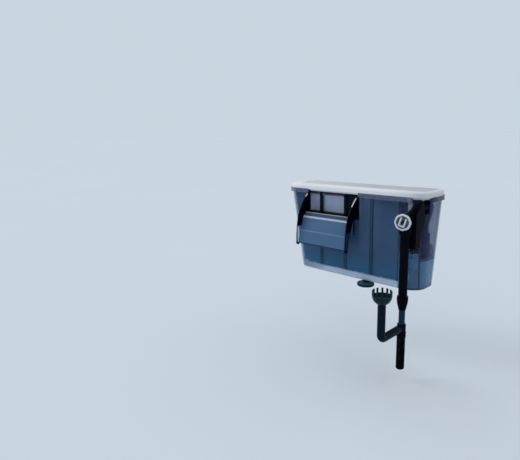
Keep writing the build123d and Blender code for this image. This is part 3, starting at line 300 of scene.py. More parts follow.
floor_level = -0.292
floor_reach = 30.0
floor_corners = [(floor_reach * x, floor_reach * y, floor_level)
                 for x, y in ((-1, -1), (1, -1), (1, 1), (-1, 1))]
floor_mesh = bpy.data.meshes.new("floor")
floor_mesh.from_pydata(floor_corners, [], [(0, 1, 2, 3)])
floor = bpy.data.objects.new("floor", floor_mesh)
scene.collection.objects.link(floor)
paper = new_finish("pale_paper")
floor_mesh.materials.append(paper.principled(
    Base_Color=paper.mix(paper.noise(1.2, 3.0), (0.680, 0.760, 0.830), (0.709, 0.790, 0.860)),
    Roughness=0.9, Specular_IOR_Level=0.1))
print("floor at", floor_level)

# %% [markdown]
# ## Opaque plastics
#
# Injection-moulded plastic is never one flat colour. Close up it has a fine orange-peel skin, its
# tone drifts a little where the melt flowed, and handling leaves it duller in patches and scuffs.
# One recipe makes every plain opaque plastic here: four noises of very different sizes drive the
# tone, the roughness and the bump. Black mouldings get very little specular, because next to the
# pale wall a common amount would turn them grey.


# %% Opaque plastics
def moulded(name, light, dark, gloss, skin, specular, top=None):
    """Moulded plastic that drifts between two tones, with an orange-peel skin and dull patches.

    `top` is a painted highlight: the lighter tone painted on the faces that look up, as if they caught the
    bright part of the dome.
    """
    finish = new_finish(name)
    flow = finish.noise(28.0, 3.0, along=(1.0, 1.0, 0.35))
    patches = finish.noise(90.0, 4.0)
    peel = finish.noise(1400.0, 2.0)
    scuffs = finish.noise(260.0, 6.0, along=(1.0, 1.0, 0.06), rough=0.7)
    tone = finish.mix(flow, dark, light)
    if top:
        # painted highlight: faces that look up get the `top` tone
        tone = finish.mix(finish.facing("Z") > 0.55, tone, top)
    return finish.principled(
        Base_Color=tone,
        Roughness=gloss - 0.06 + 0.10 * patches + 0.08 * (scuffs > 0.62),
        Specular_IOR_Level=specular,
        Normal=finish.bump(peel * 0.7 + scuffs * 0.3, skin, 0.0002))


black = moulded("black_plastic", (0.0040, 0.0050, 0.0090), (0.0015, 0.0018, 0.0040),
                gloss=0.28, skin=0.2, specular=0.012)
navy = moulded("navy_plastic", (0.0050, 0.0125, 0.0270), (0.0020, 0.0055, 0.0140),
               gloss=0.24, skin=0.2, specular=0.04)
# teal gets a painted highlight on the faces that look up
teal = moulded("teal_plastic", (0.008, 0.028, 0.040), (0.002, 0.010, 0.018),
               gloss=0.24, skin=0.2, specular=0.10, top=(0.030, 0.085, 0.115))
motor_shell = moulded("motor_plastic", (0.012, 0.013, 0.018), (0.006, 0.006, 0.010),
                      gloss=0.42, skin=0.4, specular=0.2)
rubber = moulded("soft_rubber", (0.016, 0.016, 0.018), (0.009, 0.009, 0.010),
                 gloss=0.70, skin=0.5, specular=0.2)
print("each opaque plastic has", len(black.node_tree.nodes), "nodes or a few more")

# %% [markdown]
# ## White lid
#
# The lid is a satin white moulding. Its sunken middle panel is textured by spark erosion, which
# makes it look a shade greyer than the polished frame round it. A mask on the height of the surface
# finds the panel, because it lies a little lower than the frame. The frame carries painted light and
# shade: it is painted palest at the left end and darker towards the pump end, and the panel is
# painted darker the same way.

# %% Lid finish
lid_low, lid_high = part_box("lid")
panel_recess = 0.0008
panel_margin = 0.016
panel_front = lid_low.y + 0.025
panel_back = lid_high.y - 0.009


def lid_finish():
    """Satin white: polished frame, greyer eroded panel, a faint flow of tone along the moulding, and painted
    light and shade from the left end to the pump end.
    """
    finish = new_finish("white_plastic")
    across, out, height = finish.axis("X"), finish.axis("Y"), finish.axis("Z")
    panel = ((height < lid_high.z - 0.5 * panel_recess) * (height > lid_high.z - 1.5 * panel_recess)
             * (across > lid_low.x + panel_margin) * (across < lid_high.x - panel_margin)
             * (out > panel_front) * (out < panel_back))
    flow = finish.noise(9.0, 3.0, along=(0.5, 1.0, 1.0))
    grain = finish.noise(2600.0, 1.0)
    patches = finish.noise(70.0, 4.0)
    # painted light at the left end, painted shade towards the pump end, for the frame and the panel
    painted_light_left_end = finish.ramp(across, -0.120, -0.150)
    along = finish.ramp(across, -0.150, 0.020)
    pump_end = finish.ramp(across, 0.080, 0.155)
    polished = finish.coats(finish.mix(flow, (0.76, 0.80, 0.85), (0.82, 0.86, 0.90)),
                            (0.8 * pump_end, (0.56, 0.60, 0.66)), (0.5 * painted_light_left_end, (0.96, 0.98, 1.00)))
    eroded = finish.mix(0.75 * along + 0.25 * flow, (0.64, 0.675, 0.71), (0.46, 0.49, 0.54))
    return finish.principled(
        Base_Color=finish.mix(panel, polished, eroded),
        Roughness=0.28 + 0.06 * patches + 0.25 * panel, Specular_IOR_Level=0.3,
        Normal=finish.bump(grain * (0.15 + 0.85 * panel), 0.22, 0.0001))


white = lid_finish()
print("lid panel", round((lid_high.x - lid_low.x - 2 * panel_margin) * 1000), "mm long")

# %% [markdown]
# ## Clear plastics: the sliding tube
#
# Real refraction is slow and noisy, so a clear wall here is a mix of two shaders. One lets the
# light straight through and tints it, the other is a glossy coloured surface. The mask between them
# is thin face on and thick along the silhouette, where the eye looks through more of the plastic,
# and that is what makes the edges of a clear box read. The sliding tube is the plainest case: a
# deep blue tube that lets only a little light through.


# %% Sliding tube
def tube_finish():
    """Deep blue plastic, four fifths solid face on and a little more at a grazing angle."""
    finish = new_finish("tube_plastic")
    flow = finish.noise(14.0, 3.0, along=(1.0, 1.0, 0.3))
    haze = finish.noise(60.0, 5.0)
    peel = finish.noise(420.0, 2.0)
    return finish.see_through(
        0.81 + 0.06 * haze + 0.10 * finish.graze(0.35), (0.2, 0.45, 0.8),
        Base_Color=finish.mix(flow, (0.005, 0.026, 0.060), (0.010, 0.044, 0.095)),
        Roughness=0.14 + 0.08 * haze, Specular_IOR_Level=0.08,
        Normal=finish.bump(peel, 0.10, 0.0002))


tube_blue = tube_finish()
print("the sliding tube's finish has", len(tube_blue.node_tree.nodes), "nodes")

# %% [markdown]
# ## Clear plastics: the box
#
# The box is clear but faintly violet-blue, and a good deal of what tints it is behind it: blue
# smoked baskets and dividers over floss, carbon and foam. Some places are denser. The rim is a
# thick band, and the pump end has no basket behind it and shows the wall's own blue. The floor's
# edge and a band below the baskets are painted pale, as painted light, and the notch beside the
# intake arm gets a pale patch of painted light where the empty pump end lets light through.
# Each of these is a mask on where a point lies, measured where it can be from the corners of the
# box and of what it holds.

# %% Box
tank_low, tank_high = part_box("tank")
basket_low, basket_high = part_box("media_basket_4")
rim_foot = tank_high.z - 0.0102
floor_top = tank_low.z + 0.0035
pump_wall = basket_high.x + 0.0029
corner_place = tank_high.x - 0.020
corner_width = 0.0008
corner_depth = tank_low.y + 0.028
blue_top = -0.054   # the pump end is bluer below this height
blue_drop = 0.016   # and on its round end, below a height this much lower
notch_left = 0.1290
notch_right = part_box("intake_saddle")[0].x - 0.0006
notch_foot = 0.024
notch_depth = tank_low.y + 0.018


def tank_finish():
    """Clear walls, a violet rim band, a blue pump end, and painted light: a pale floor edge, a pale glow
    below the baskets and a pale strip at the notch.

    Each mask multiplies tests of the three coordinates. How solid the wall is, is the sum of the
    masks, each times its own strength, and the tone is a coat of colour for each of them.
    """
    finish = new_finish("clear_plastic")
    across, out, height = finish.axis("X"), finish.axis("Y"), finish.axis("Z")
    flow = finish.noise(12.0, 3.0, along=(1.0, 1.0, 0.25))
    haze = finish.noise(50.0, 5.0)
    peel = finish.noise(380.0, 2.0)
    in_pump_end = across > pump_wall
    round_end = across > corner_place
    far_end = finish.ramp(across, tank_high.x - 0.024, tank_high.x - 0.010)
    rim = height > rim_foot
    # painted light: the floor's edge is painted pale, and painted dark at the pump end
    base = height < floor_top
    # painted light: a pale glow below the baskets' feet
    painted_glow_below_baskets = (finish.ramp(height, basket_low.z + 0.003, basket_low.z - 0.001)
                 * finish.ramp(across, tank_low.x + 0.020, tank_low.x + 0.110) * (across < pump_wall))
    lower_end = in_pump_end * (height + blue_drop * round_end < blue_top)
    corner = (abs(across - corner_place) < corner_width) * (out < corner_depth)
    # painted light: a pale patch at the notch, where the empty pump end lets light through
    painted_light_at_notch = (0.45 * (across > notch_left) * (across < notch_right)
             * (height > notch_foot) * (out < notch_depth))
    tone = finish.coats(
        finish.mix(flow, (0.022, 0.050, 0.100), (0.040, 0.080, 0.150)),
        (lower_end, (0.085, 0.225, 0.420)), (corner, (0.006, 0.009, 0.020)), (painted_light_at_notch, (0.72, 0.76, 0.86)),
        (far_end * (1 - lower_end), (0.035, 0.045, 0.160)), (painted_glow_below_baskets, (0.58, 0.74, 0.93)),
        (base, (0.50, 0.58, 0.68)), (base * in_pump_end, (0.008, 0.012, 0.030)),
        (rim, (0.15, 0.185, 0.31)), (rim * round_end, (0.02, 0.03, 0.07)))
    wall = 0.10 + 0.04 * haze + 0.36 * finish.graze(0.5) ** 2.5 + 0.20 * far_end
    bands = 0.34 * rim + 0.50 * rim * far_end + 0.25 * base + 0.45 * base * in_pump_end
    places = 0.36 * painted_glow_below_baskets * (1 - base) + 0.26 * lower_end + 0.55 * corner + 0.70 * painted_light_at_notch
    return finish.see_through(
        wall + bands + places, (0.84, 0.875, 0.905),
        Base_Color=tone, Roughness=0.07 + 0.08 * haze, Normal=finish.bump(peel, 0.10, 0.0002))


tank_clear = tank_finish()
print("rim band", round((tank_high.z - rim_foot) * 1000, 1), "mm high")

# %% [markdown]
# ## Smoked plastics: baskets and dividers
#
# The baskets are smoked blue plastic with carbon or dark foam behind it. Their tone by height is
# partly painted light: slate blue high up, where the sky reaches in, darker towards the top in the
# lid's shade, and teal low down. The dividers are the same plastic, a good deal darker. Both are
# painted black in the spillway's mouth, as painted shade for the lid's shade there, except for the
# top bars in front of the floss, which are as pale as the floss. Next to the spillway's cheek, which
# keeps light from them, the baskets get painted light, a lighter tone, so that the bay doesn't fall
# too dark.

# %% Baskets and dividers
chute_low, chute_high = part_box("spillway_chute")
spill_right = chute_high.x - 0.0014
mouth_sill = -0.004
bars_foot = basket_high.z - 0.0065
bars_left = chute_low.x - 0.0041
bars_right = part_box("media_basket_3")[0].x - 0.0015
# tones by height, partly painted light: darker towards the top in the lid's shade
basket_tones = [(0.0, (0.070, 0.380, 0.660)), (0.35, (0.150, 0.300, 0.520)), (0.65, (0.180, 0.295, 0.500)),
                (0.88, (0.140, 0.245, 0.420)), (1.0, (0.120, 0.205, 0.330))]


def basket_finish(name, shade, dark_from):
    """Smoked blue: tones from the box's foot to its rim, partly painted light, each times a shade.

    What lies in the mouth of the spillway is painted black, as painted shade, from `dark_from` to its
    right end, and the top bars are pale left of there. Next to the cheek a lighter tone is painted light.
    """
    finish = new_finish(name)
    across, height = finish.axis("X"), finish.axis("Z")
    flow = finish.noise(18.0, 3.0, along=(1.0, 1.0, 0.15))
    haze = finish.noise(70.0, 5.0)
    peel = finish.noise(420.0, 2.0)
    rise = finish.ramp(height, tank_low.z - 0.0030, tank_high.z - 0.0125)
    stops = [(place, tuple(shade * value for value in colour)) for place, colour in basket_tones]
    # painted light: a lighter tone next to the spillway's cheek
    painted_light_beside_cheek = (finish.ramp(across, 0.075, 0.030) * (across > spill_right)
                    * finish.ramp(height, -0.075, -0.030))
    top_bars = (height > bars_foot) * (across < dark_from) * (across > bars_left)
    # painted shade: black in the spillway's mouth
    mouth = (height > mouth_sill) * (across > dark_from) * (across < spill_right)
    tone = finish.coats(
        finish.node("ShaderNodeValToRGB", {"stops": stops}, {0: rise}),
        (0.50 * shade * painted_light_beside_cheek, (0.42, 0.62, 0.92)), (top_bars, (0.36, 0.43, 0.58)),
        (mouth, (0.0012, 0.0018, 0.0045)), (0.25 * flow, (0.020, 0.040, 0.080)))
    return finish.see_through(
        0.88 + 0.10 * haze, (0.20, 0.35, 0.55),
        Base_Color=tone, Roughness=0.16 + 0.10 * haze, Specular_IOR_Level=0.06,
        Normal=finish.bump(peel, 0.12, 0.0002))


smoke = basket_finish("smoke_plastic", 1.0, bars_right)
divider_blue = basket_finish("divider_plastic", 0.45, tank_low.x)
print("spillway's mouth ends", round(spill_right * 1000, 1), "mm along the box")

# %% [markdown]
# ## The spillway
#
# The spillway is one translucent steel-blue moulding: a ramp that turns at its crest, at a bend and
# at a crease, between two upright cheeks. The crest, the bend and the crease carry painted highlights
# as bright lines, and the ramp is painted darker above the bend and towards the cheeks, as painted
# shade. Each cheek is painted black beside the opening, as painted shade, and is clear lower down,
# with a painted highlight along its edge above and a dark edge below. The hook wall behind the ramp,
# which bears on the aquarium's glass, is the clearest.

# %% Spillway
cheek_thickness = 0.0025
chute_middle = (chute_low.x + chute_high.x) / 2
ramp_front = chute_low.y + 0.0016
ramp_foot = chute_low.z + 0.0042
lip_height = chute_low.z + 0.0055
crest_height, bend_height, crease_height = 0.0025, -0.0058, -0.0340
glass_face = -0.0060
ramp_back, floor_front, hook_front = glass_face - 0.0015, glass_face - 0.0032, glass_face - 0.0055
floor_foot, hook_top = 0.0012, -0.0005
shade_from, shade_full = -0.034, -0.016
pale_edge_foot, right_edge_drop = 0.036, 0.010


def chute_finish():
    """A steel-blue ramp with painted highlights at its bends, between cheeks painted black beside the
    opening.

    The masks follow the profile: `ramp` is what lies between the cheeks in front of the glass,
    `edge` the cheeks' narrow faces, found by how they face or by lying at the cheek's rim, and
    `dark` what lies in the lid's shade, which is painted black as painted shade.
    """
    finish = new_finish("blue_plastic")
    across, out, height = finish.axis("X"), finish.axis("Y"), finish.axis("Z")
    flow = finish.noise(16.0, 3.0, along=(0.3, 1.0, 1.0))
    rills = finish.noise(150.0, 4.0, along=(1.0, 0.05, 0.05))
    peel = finish.noise(500.0, 2.0)
    cheek = (across < chute_low.x + cheek_thickness) + (across > chute_high.x - cheek_thickness)
    right_one = across > 0.0
    narrow = (abs(finish.facing("X")) < 0.5) + (out < ramp_front) + (height < ramp_foot) > 0.5
    edge = cheek * narrow * (out < -0.001)
    # painted highlight along the cheeks' upper edges
    painted_edge_highlight = edge * (height + right_edge_drop * right_one > pale_edge_foot) * (out > ramp_front)
    back_floor = (out > floor_front) * (height > floor_foot)
    hook = (out > hook_front) * (height < hook_top)
    # painted shade: the cheeks beside the opening and the floor behind the crest
    dark = (cheek * (1 - hook) * finish.ramp(height, shade_from, shade_full) + back_floor) > 0.5
    ramp = (1 - cheek) * (out < ramp_back)
    # painted shade towards the cheeks, above the crease
    painted_shade_to_cheeks = abs(across - chute_middle) * 16.0
    # painted highlights: bright lines along the crease, the bend and the crest
    painted_crease_highlight = finish.near(height - crease_height, 0.0016) * ramp
    painted_bend_highlight = finish.near(height - bend_height, 0.0024) * ramp
    crest = finish.near(height - crest_height, 0.0012) * (1 - cheek) * (out < glass_face)
    tone = finish.coats(
        finish.mix(flow, (0.060, 0.128, 0.240), (0.090, 0.178, 0.325)),
        (0.25 * rills, (0.14, 0.24, 0.40)),
        (0.35 * painted_shade_to_cheeks ** 3 * (height > crease_height), (0.020, 0.045, 0.090)),
        # painted shade on the ramp above the bend
        (0.60 * ramp * (height > bend_height), (0.030, 0.060, 0.090)),
        (0.40 * painted_crease_highlight, (0.24, 0.38, 0.52)), (0.90 * painted_bend_highlight, (0.56, 0.62, 0.80)),
        (0.85 * ramp * (height < lip_height), (0.020, 0.028, 0.075)),
        (cheek, (0.012, 0.022, 0.065)), (dark, (0.0012, 0.0016, 0.0040)), (0.80 * crest, (0.42, 0.43, 0.44)),
        (edge, (0.004, 0.006, 0.020)), (painted_edge_highlight, (0.60, 0.64, 0.70)))
    clear_cheek = cheek * (1 - dark) * (0.20 + 0.45 * right_one)
    return finish.see_through(
        0.90 * ramp + 0.97 * dark + 0.16 * hook + clear_cheek + 0.75 * edge + 0.05 * flow,
        (0.80, 0.87, 0.94),
        Base_Color=tone, Roughness=0.16 + 0.10 * rills, Specular_IOR_Level=0.03,
        Normal=finish.bump(peel + 0.5 * rills, 0.12, 0.0002))


chute_blue = chute_finish()
print("ramp", round((chute_high.x - chute_low.x - 2 * cheek_thickness) * 1000), "mm wide")

# %% [markdown]
# ## Metals inside the pump
#
# The stator is a stack of thin steel sheets with a coil of copper round it, and it drives a ferrite
# magnet on a polished shaft. The sheets show as fine lines across the stack, and the winding as
# fine rings, so both are Wave textures that run along the height.

# %% Metals
wave_radians = 20.0  # a Wave texture of scale 1 runs through this many radians in a metre
sheets, turns = 223, 318  # to the metre


def metal(name, light, dark, gloss, lines=0, metallic=1.0):
    """Metal with a mottled tone; `lines` to the metre cut it into sheets or windings along Z."""
    finish = new_finish(name)
    mottle = finish.noise(180.0, 4.0)
    height = finish.noise(900.0, 2.0, along=(1.0, 1.0, 0.1))
    if lines:
        height = finish.node("ShaderNodeTexWave", {"bands_direction": "Z", "wave_profile": "SIN"},
                             {"Vector": finish.place(), "Scale": 2 * pi * lines / wave_radians,
                              "Distortion": 0.2}, 1)
    return finish.principled(
        Base_Color=finish.mix(mottle, dark, light),
        Metallic=metallic, Roughness=gloss - 0.05 + 0.12 * mottle,
        Normal=finish.bump(height, 0.3, 0.0003))


core_steel = metal("core_steel", (0.46, 0.46, 0.48), (0.30, 0.30, 0.32), gloss=0.42, lines=sheets)
winding = metal("copper_wire", (0.62, 0.30, 0.15), (0.46, 0.19, 0.09), gloss=0.34, lines=turns)
shaft_steel = metal("shaft_steel", (0.72, 0.72, 0.74), (0.60, 0.60, 0.62), gloss=0.16)
ferrite = metal("ferrite", (0.060, 0.060, 0.066), (0.035, 0.035, 0.040), gloss=0.50, metallic=0.3)
print("a sheet every", round(1000 / sheets, 1), "mm, a turn of wire every", round(1000 / turns, 1), "mm")

# %% [markdown]
# ## Dressing the hard pieces
#
# A hard piece keeps the mesh of its node in the construction model and gets only a finish. The list
# below is the parts list, sorted by what each piece is moulded from. The soft blocks and the flow
# knob aren't in it, because surfaces made further down stand for them.

# %% Give every hard node its finish
parts_list = {
    tank_clear: ["tank"],
    chute_blue: ["spillway_chute"],
    white: ["lid", "impeller"],
    black: ["intake_saddle", "intake_arm", "valve_vane", "outer_tube", "collar", "tee", "strainer"],
    navy: ["skimmer_arm"],
    teal: ["skimmer_cup", "levelling_cam", "cam_pin"],
    smoke: ["pump_shelf", "media_basket_1", "media_basket_2", "media_basket_3", "media_basket_4"],
    tube_blue: ["extension_tube"],
    divider_blue: ["divider_1", "divider_2", "divider_3", "divider_4"],
    motor_shell: ["motor_cover", "motor_housing", "volute"],
    rubber: ["lower_bush", "upper_bush", "inlet_sleeve", "knob_seal", "collar_seal", "cord_gland"],
    core_steel: ["stator_core"],
    winding: ["stator_coil"],
    ferrite: ["rotor_magnet"],
    shaft_steel: ["impeller_shaft"],
}
for finish, names in parts_list.items():
    for name in names:
        slots = nodes[name].data.materials
        slots.clear()
        slots.append(finish)
print("finishes:", len(parts_list), "on", sum(map(len, parts_list.values())), "nodes")

# %% [markdown]
# ## Soft media
#
# Floss, carbon and sponge are soft, and the construction model holds only their plain blocks, which
# follow the slanted walls of the box and its rounded end. Each gets a closed surface that starts
# from the block's own outline: a rectangle with a small radius at its corners and, in the first
# bay, a large one at the left. The outline is carried up a profile that rounds the top and bottom
# edges and bulges between them. The surface is then roughened by a sum of waves, which is a quick
# smooth noise that numpy works out for the whole grid at once.


# %% Waves, and the outline of a block
def ripple(points, size, seed, waves=28):
    """Smooth noise at each point: sine waves of about one size in random directions, summed, and
    divided by the square root of their number."""
    random = np.random.default_rng(seed)
    directions = random.normal(size=(waves, 3))
    directions /= np.linalg.norm(directions, axis=1, keepdims=True)
    lengths = size * random.uniform(0.7, 1.5, (waves, 1))
    phases = random.uniform(0, 2 * pi, waves)
    return np.sin(points @ (2 * pi * directions / lengths).T + phases).sum(axis=-1) / np.sqrt(waves)


def node_points(node):
    """A construction node's mesh points, as an array."""
    mesh = nodes[node].data
    points = np.empty(len(mesh.vertices) * 3)
    mesh.vertices.foreach_get("co", points)
    return points.reshape(-1, 3)


def travelled(points):
    """How far along a row of points each of them lies, from nought at the first."""
    return np.concatenate([[0], np.cumsum(np.linalg.norm(np.diff(points, axis=0), axis=1))])


def level_outline(points, height, columns, shrink, soften, arc=24, slack=0.0001):
    """The outline of a block's flat end at one height, as evenly spaced points and their normals.

    A corner's radius is how far the straight front edge stops short of the block's side, and at
    least `soften`. The outline is four quarter circles of those radii, joined by straight edges,
    shrunk inwards and read off at equal steps of its length. A point counts as on the end if it
    lies within `slack` of its height.
    """
    level = points[np.abs(points[:, 2] - height) < slack][:, :2]
    low, high = level.min(0), level.max(0)
    front = level[level[:, 1] < low[1] + 2 * slack, 0]
    radii = np.maximum([high[0] - front.max(), front.min() - low[0]], soften)[[0, 1, 1, 0]]
    sides = np.array([[1, 1], [-1, 1], [-1, -1], [1, -1]])
    turns = np.linspace(0, pi / 2, arc) + np.arange(4)[:, None] * pi / 2
    normals = np.stack([np.cos(turns), np.sin(turns)], axis=-1)
    middle, half = (low + high) / 2, (high - low) / 2
    corners = middle + sides[:, None] * (half - radii[:, None])[:, None]
    loop = (corners + normals * (radii[:, None, None] - shrink)).reshape(-1, 2)
    normals = normals.reshape(-1, 2)
    loop, normals = np.vstack([loop, loop[:1]]), np.vstack([normals, normals[:1]])
    passed = travelled(loop)
    steps = np.linspace(0, passed[-1], columns, endpoint=False)
    read = lambda values: np.stack([np.interp(steps, passed, values[:, i]) for i in (0, 1)], axis=-1)
    return read(loop), read(normals), middle


# %% [markdown]
# ## Crowned blocks
#
# The grid of a soft block has a row for each place on the profile and a column for each place on
# the outline. The rows are joined by four-sided faces, and a fan closes each end, so the mesh has
# no holes and every face points outwards.


# %% Blocks and closed meshes
def block(node, shrink, crown, columns, rows, edge, soften):
    """A crowned block in a node's place: its points, as rows by columns, and its outward directions.

    From the bottom's middle to the top's, a superellipse gives the reach and the height: the cosine
    and the sine of one angle, each raised to the small power `edge`. The reach scales the outline
    about its middle, less a `crown` that grows with the square of the height above the waist. The
    directions follow the outline's normals round the waist and turn up or down at the two ends.
    """
    points = node_points(node)
    low, high = points[:, 2].min(), points[:, 2].max()
    bottom, normals, bottom_middle = level_outline(points, low, columns, shrink, soften)
    top, _, top_middle = level_outline(points, high, columns, shrink, soften)
    angle = np.linspace(-pi / 2, pi / 2, rows + 2)[1:-1, None]
    power = lambda value: np.sign(value) * np.abs(value) ** edge
    reach, rise = power(np.cos(angle)), power(np.sin(angle))
    share = ((rise + 1) / 2)[..., None]
    middle = bottom_middle + (top_middle - bottom_middle) * share
    outline = bottom + (top - bottom) * share
    grid = np.empty((rows, columns, 3))
    grid[..., :2] = middle + (outline - middle) * (reach * (1 - crown * rise ** 2))[..., None]
    grid[..., 2] = (low + high) / 2 + ((high - low) / 2 - shrink) * rise
    away = np.concatenate([np.broadcast_to(normals * np.cos(angle)[..., None] ** 0.5, grid[..., :2].shape),
                           np.broadcast_to(np.sin(angle)[..., None] ** 5, (rows, columns, 1))], axis=-1)
    return grid, away / np.linalg.norm(away, axis=-1, keepdims=True)


def closed_mesh(name, grid):
    """One closed mesh from rings of points: four-sided faces between the rings, fans at the two ends."""
    rows, columns = grid.shape[:2]
    row, column = np.meshgrid(np.arange(rows - 1), np.arange(columns), indexing="ij")
    beside = (column + 1) % columns
    quads = np.stack([row * columns + column, row * columns + beside,
                      (row + 1) * columns + beside, (row + 1) * columns + column], axis=-1)
    points = np.concatenate([grid.reshape(-1, 3), grid[0].mean(0)[None], grid[-1].mean(0)[None]])
    ring, next_one = np.arange(columns), (np.arange(columns) + 1) % columns
    first, last, top_ring = rows * columns, rows * columns + 1, (rows - 1) * columns
    bottom_fan = np.stack([np.full(columns, first), next_one, ring], axis=-1)
    top_fan = np.stack([np.full(columns, last), top_ring + ring, top_ring + next_one], axis=-1)
    mesh = bpy.data.meshes.new(name)
    faces = [*quads.reshape(-1, 4).tolist(), *bottom_fan.tolist(), *top_fan.tolist()]
    mesh.from_pydata(points.tolist(), [], faces)
    mesh.polygons.foreach_set("use_smooth", np.ones(len(mesh.polygons), bool))
    piece = bpy.data.objects.new(name, mesh)
    scene.collection.objects.link(piece)
    return piece


def filling(name, node, grid, finish):
    """A soft piece that stands for a construction node, in the fixed housing."""
    piece = closed_mesh(name, grid)
    piece.data.materials.append(finish)
    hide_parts(node)
    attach(piece, "housing")


# %% [markdown]
# ## Filter floss
#
# Floss is bonded polyester: a springy white batt, laid in thin sheets one on another. It never has
# a sharp edge. The batt is a crowned block with slow dents, and the sheets show as faint ridges
# across its faces. Its finish is fibrous: long thin noise in two directions, laid over each other.


# %% Floss pads
def fibre_finish(name, light, dark, fineness):
    """Fibres: noise stretched along two slanted directions, which drives the tone and the bump."""
    finish = new_finish(name)
    lay_one = finish.noise(fineness, 5.0, along=(1.0, 1.0, 0.12), rough=0.65)
    lay_two = finish.noise(fineness * 0.8, 5.0, along=(0.15, 1.0, 1.0), rough=0.65)
    clumps = finish.noise(fineness * 0.12, 3.0)
    return finish.principled(
        Base_Color=finish.mix(0.45 * lay_one + 0.35 * lay_two + 0.25 * clumps, dark, light),
        Roughness=0.85 + 0.1 * lay_two, Specular_IOR_Level=0.15, Sheen_Weight=0.3,
        Normal=finish.bump(lay_one + lay_two, 0.7, 0.0006))


# painted shade: the white floss is given a dark blue-grey for the shade it sits in under the lid
floss_white = fibre_finish("white_floss", (0.36, 0.43, 0.585), (0.18, 0.23, 0.36), 900.0)
sheet_pitch = 0.0011
for number in (1, 2):
    grid, away = block(f"floss_pad_{number}", shrink=0.0006, crown=0.003, columns=200, rows=132,
                       edge=0.06, soften=0.0012)
    dents = ripple(grid, 0.030, 10 + number) * 0.0003
    sheets = np.sin(grid[..., 0] / sheet_pitch + ripple(grid, 0.05, 20 + number)) * 0.00016
    fuzz = ripple(grid, 0.0035, 30 + number, 40) * 0.00012
    filling(f"floss_batt_{number}", f"floss_pad_{number}", grid + away * (dents + sheets + fuzz)[..., None],
            floss_white)
print("floss pads made, dented by up to", round(np.abs(dents).max() * 1000, 2), "mm")

# %% [markdown]
# ## Sponge blocks
#
# The coarse sponge is black open-cell foam, cut from a slab with a hot wire, so its faces are flat
# and its edges only slightly soft. What gives it away are the cells. Big ones are modelled as
# pits, and the fine ones are a Voronoi bump.


# %% Sponges
def sponge_finish():
    """Open cells: the distance to the nearest cell's middle sets the tone and drives the bump."""
    finish = new_finish("black_sponge")
    cells = finish.node("ShaderNodeTexVoronoi", {"feature": "F1"},
                        {"Vector": finish.place(), "Scale": 620.0}, "Distance")
    clumps = finish.noise(60.0, 3.0)
    return finish.principled(
        Base_Color=finish.mix(cells, (0.004, 0.005, 0.007), (0.035, 0.040, 0.048)),
        Roughness=0.82 + 0.12 * clumps, Specular_IOR_Level=0.2,
        Normal=finish.bump(cells, 0.9, 0.0012))


sponge_black = sponge_finish()
for number in (3, 4):
    grid, away = block(f"sponge_block_{number}", shrink=0.0005, crown=0.004, columns=200, rows=150,
                       edge=0.10, soften=0.0015)
    pits = np.clip(ripple(grid, 0.005, 40 + number, 40) - 0.9, 0, None) * -0.0007
    slack = ripple(grid, 0.04, 50 + number) * 0.0002
    filling(f"sponge_foam_{number}", f"sponge_block_{number}", grid + away * (pits + slack)[..., None],
            sponge_black)
print("sponges made, with pits up to", round(-pits.min() * 1000, 2), "mm deep")

# %% [markdown]
# ## Carbon bags
#
# The activated carbon is loose pellets in a fine net bag. The bag slumps, and the pellets push
# through it as small lumps, so the block gets a stronger crown and two sizes of lump.


# %% Carbon
def net_finish():
    """A fine black net over pellets: pellets as Voronoi lumps, the net as slanted lines over them."""
    finish = new_finish("carbon_mesh")
    pellets = finish.node("ShaderNodeTexVoronoi", {"feature": "SMOOTH_F1"},
                          {"Vector": finish.place(), "Scale": 300.0}, "Distance")
    threads = finish.node("ShaderNodeTexWave", {"bands_direction": "DIAGONAL"},
                          {"Vector": finish.place(), "Scale": 420.0, "Distortion": 0.4}, 1)
    return finish.principled(
        Base_Color=finish.mix(pellets, (0.030, 0.031, 0.034), (0.008, 0.008, 0.009)),
        Roughness=0.6 + 0.3 * threads, Specular_IOR_Level=0.3,
        Normal=finish.bump(threads * 0.3 - pellets, 0.8, 0.0008))


carbon_black = net_finish()
for number in (1, 2):
    grid, away = block(f"carbon_pack_{number}", shrink=0.0011, crown=0.024, columns=200, rows=110,
                       edge=0.26, soften=0.005)
    slump = ripple(grid, 0.028, 60 + number) * 0.0005
    lumps = np.abs(ripple(grid, 0.006, 70 + number, 40)) * 0.0003
    filling(f"carbon_bag_{number}", f"carbon_pack_{number}", grid + away * (slump + lumps)[..., None],
            carbon_black)
print("carbon bags made, with lumps up to", round(lumps.max() * 1000, 2), "mm high")

# %% [markdown]
# ## The flow knob
#
# The knob is a clear moulded cap with eight soft facets. It is thin at its rim and dished in front,
# with a U-shaped finger grip standing in the dish. The construction model holds a plain block of its
# size, so the cap is a surface turned about the knob's axis: a profile of radius against depth,
# with a ripple of eight waves in the radius and the grip added to the depth.

# %% The knob's sizes
knob_turn_in = radians(12.0)
knob_profile = 0.001 * np.array([  # radius and depth, from the back's middle to the dish's
    [4.0, 0.2], [9.0, 0.2], [13.0, 1.4], [14.5, 3.0], [14.8, 4.2], [14.2, 5.6],
    [12.6, 6.2], [11.2, 5.4], [10.2, 3.8], [4.0, 3.4], [0.4, 3.4]])
dish_edge = 7
facets, facet_depth, facets_from = 8, 0.02, 0.009
rim_radius, rim_depth = 0.0112, 0.0030
grip_lean = radians(18.0)
grip_half, grip_foot, grip_top = 0.0044, -0.0065, 0.0070
grip_width, grip_reach, grip_height = 0.0015, 1.6, 0.005
print("knob", round(2000 * knob_profile[:, 0].max(), 1), "mm across")


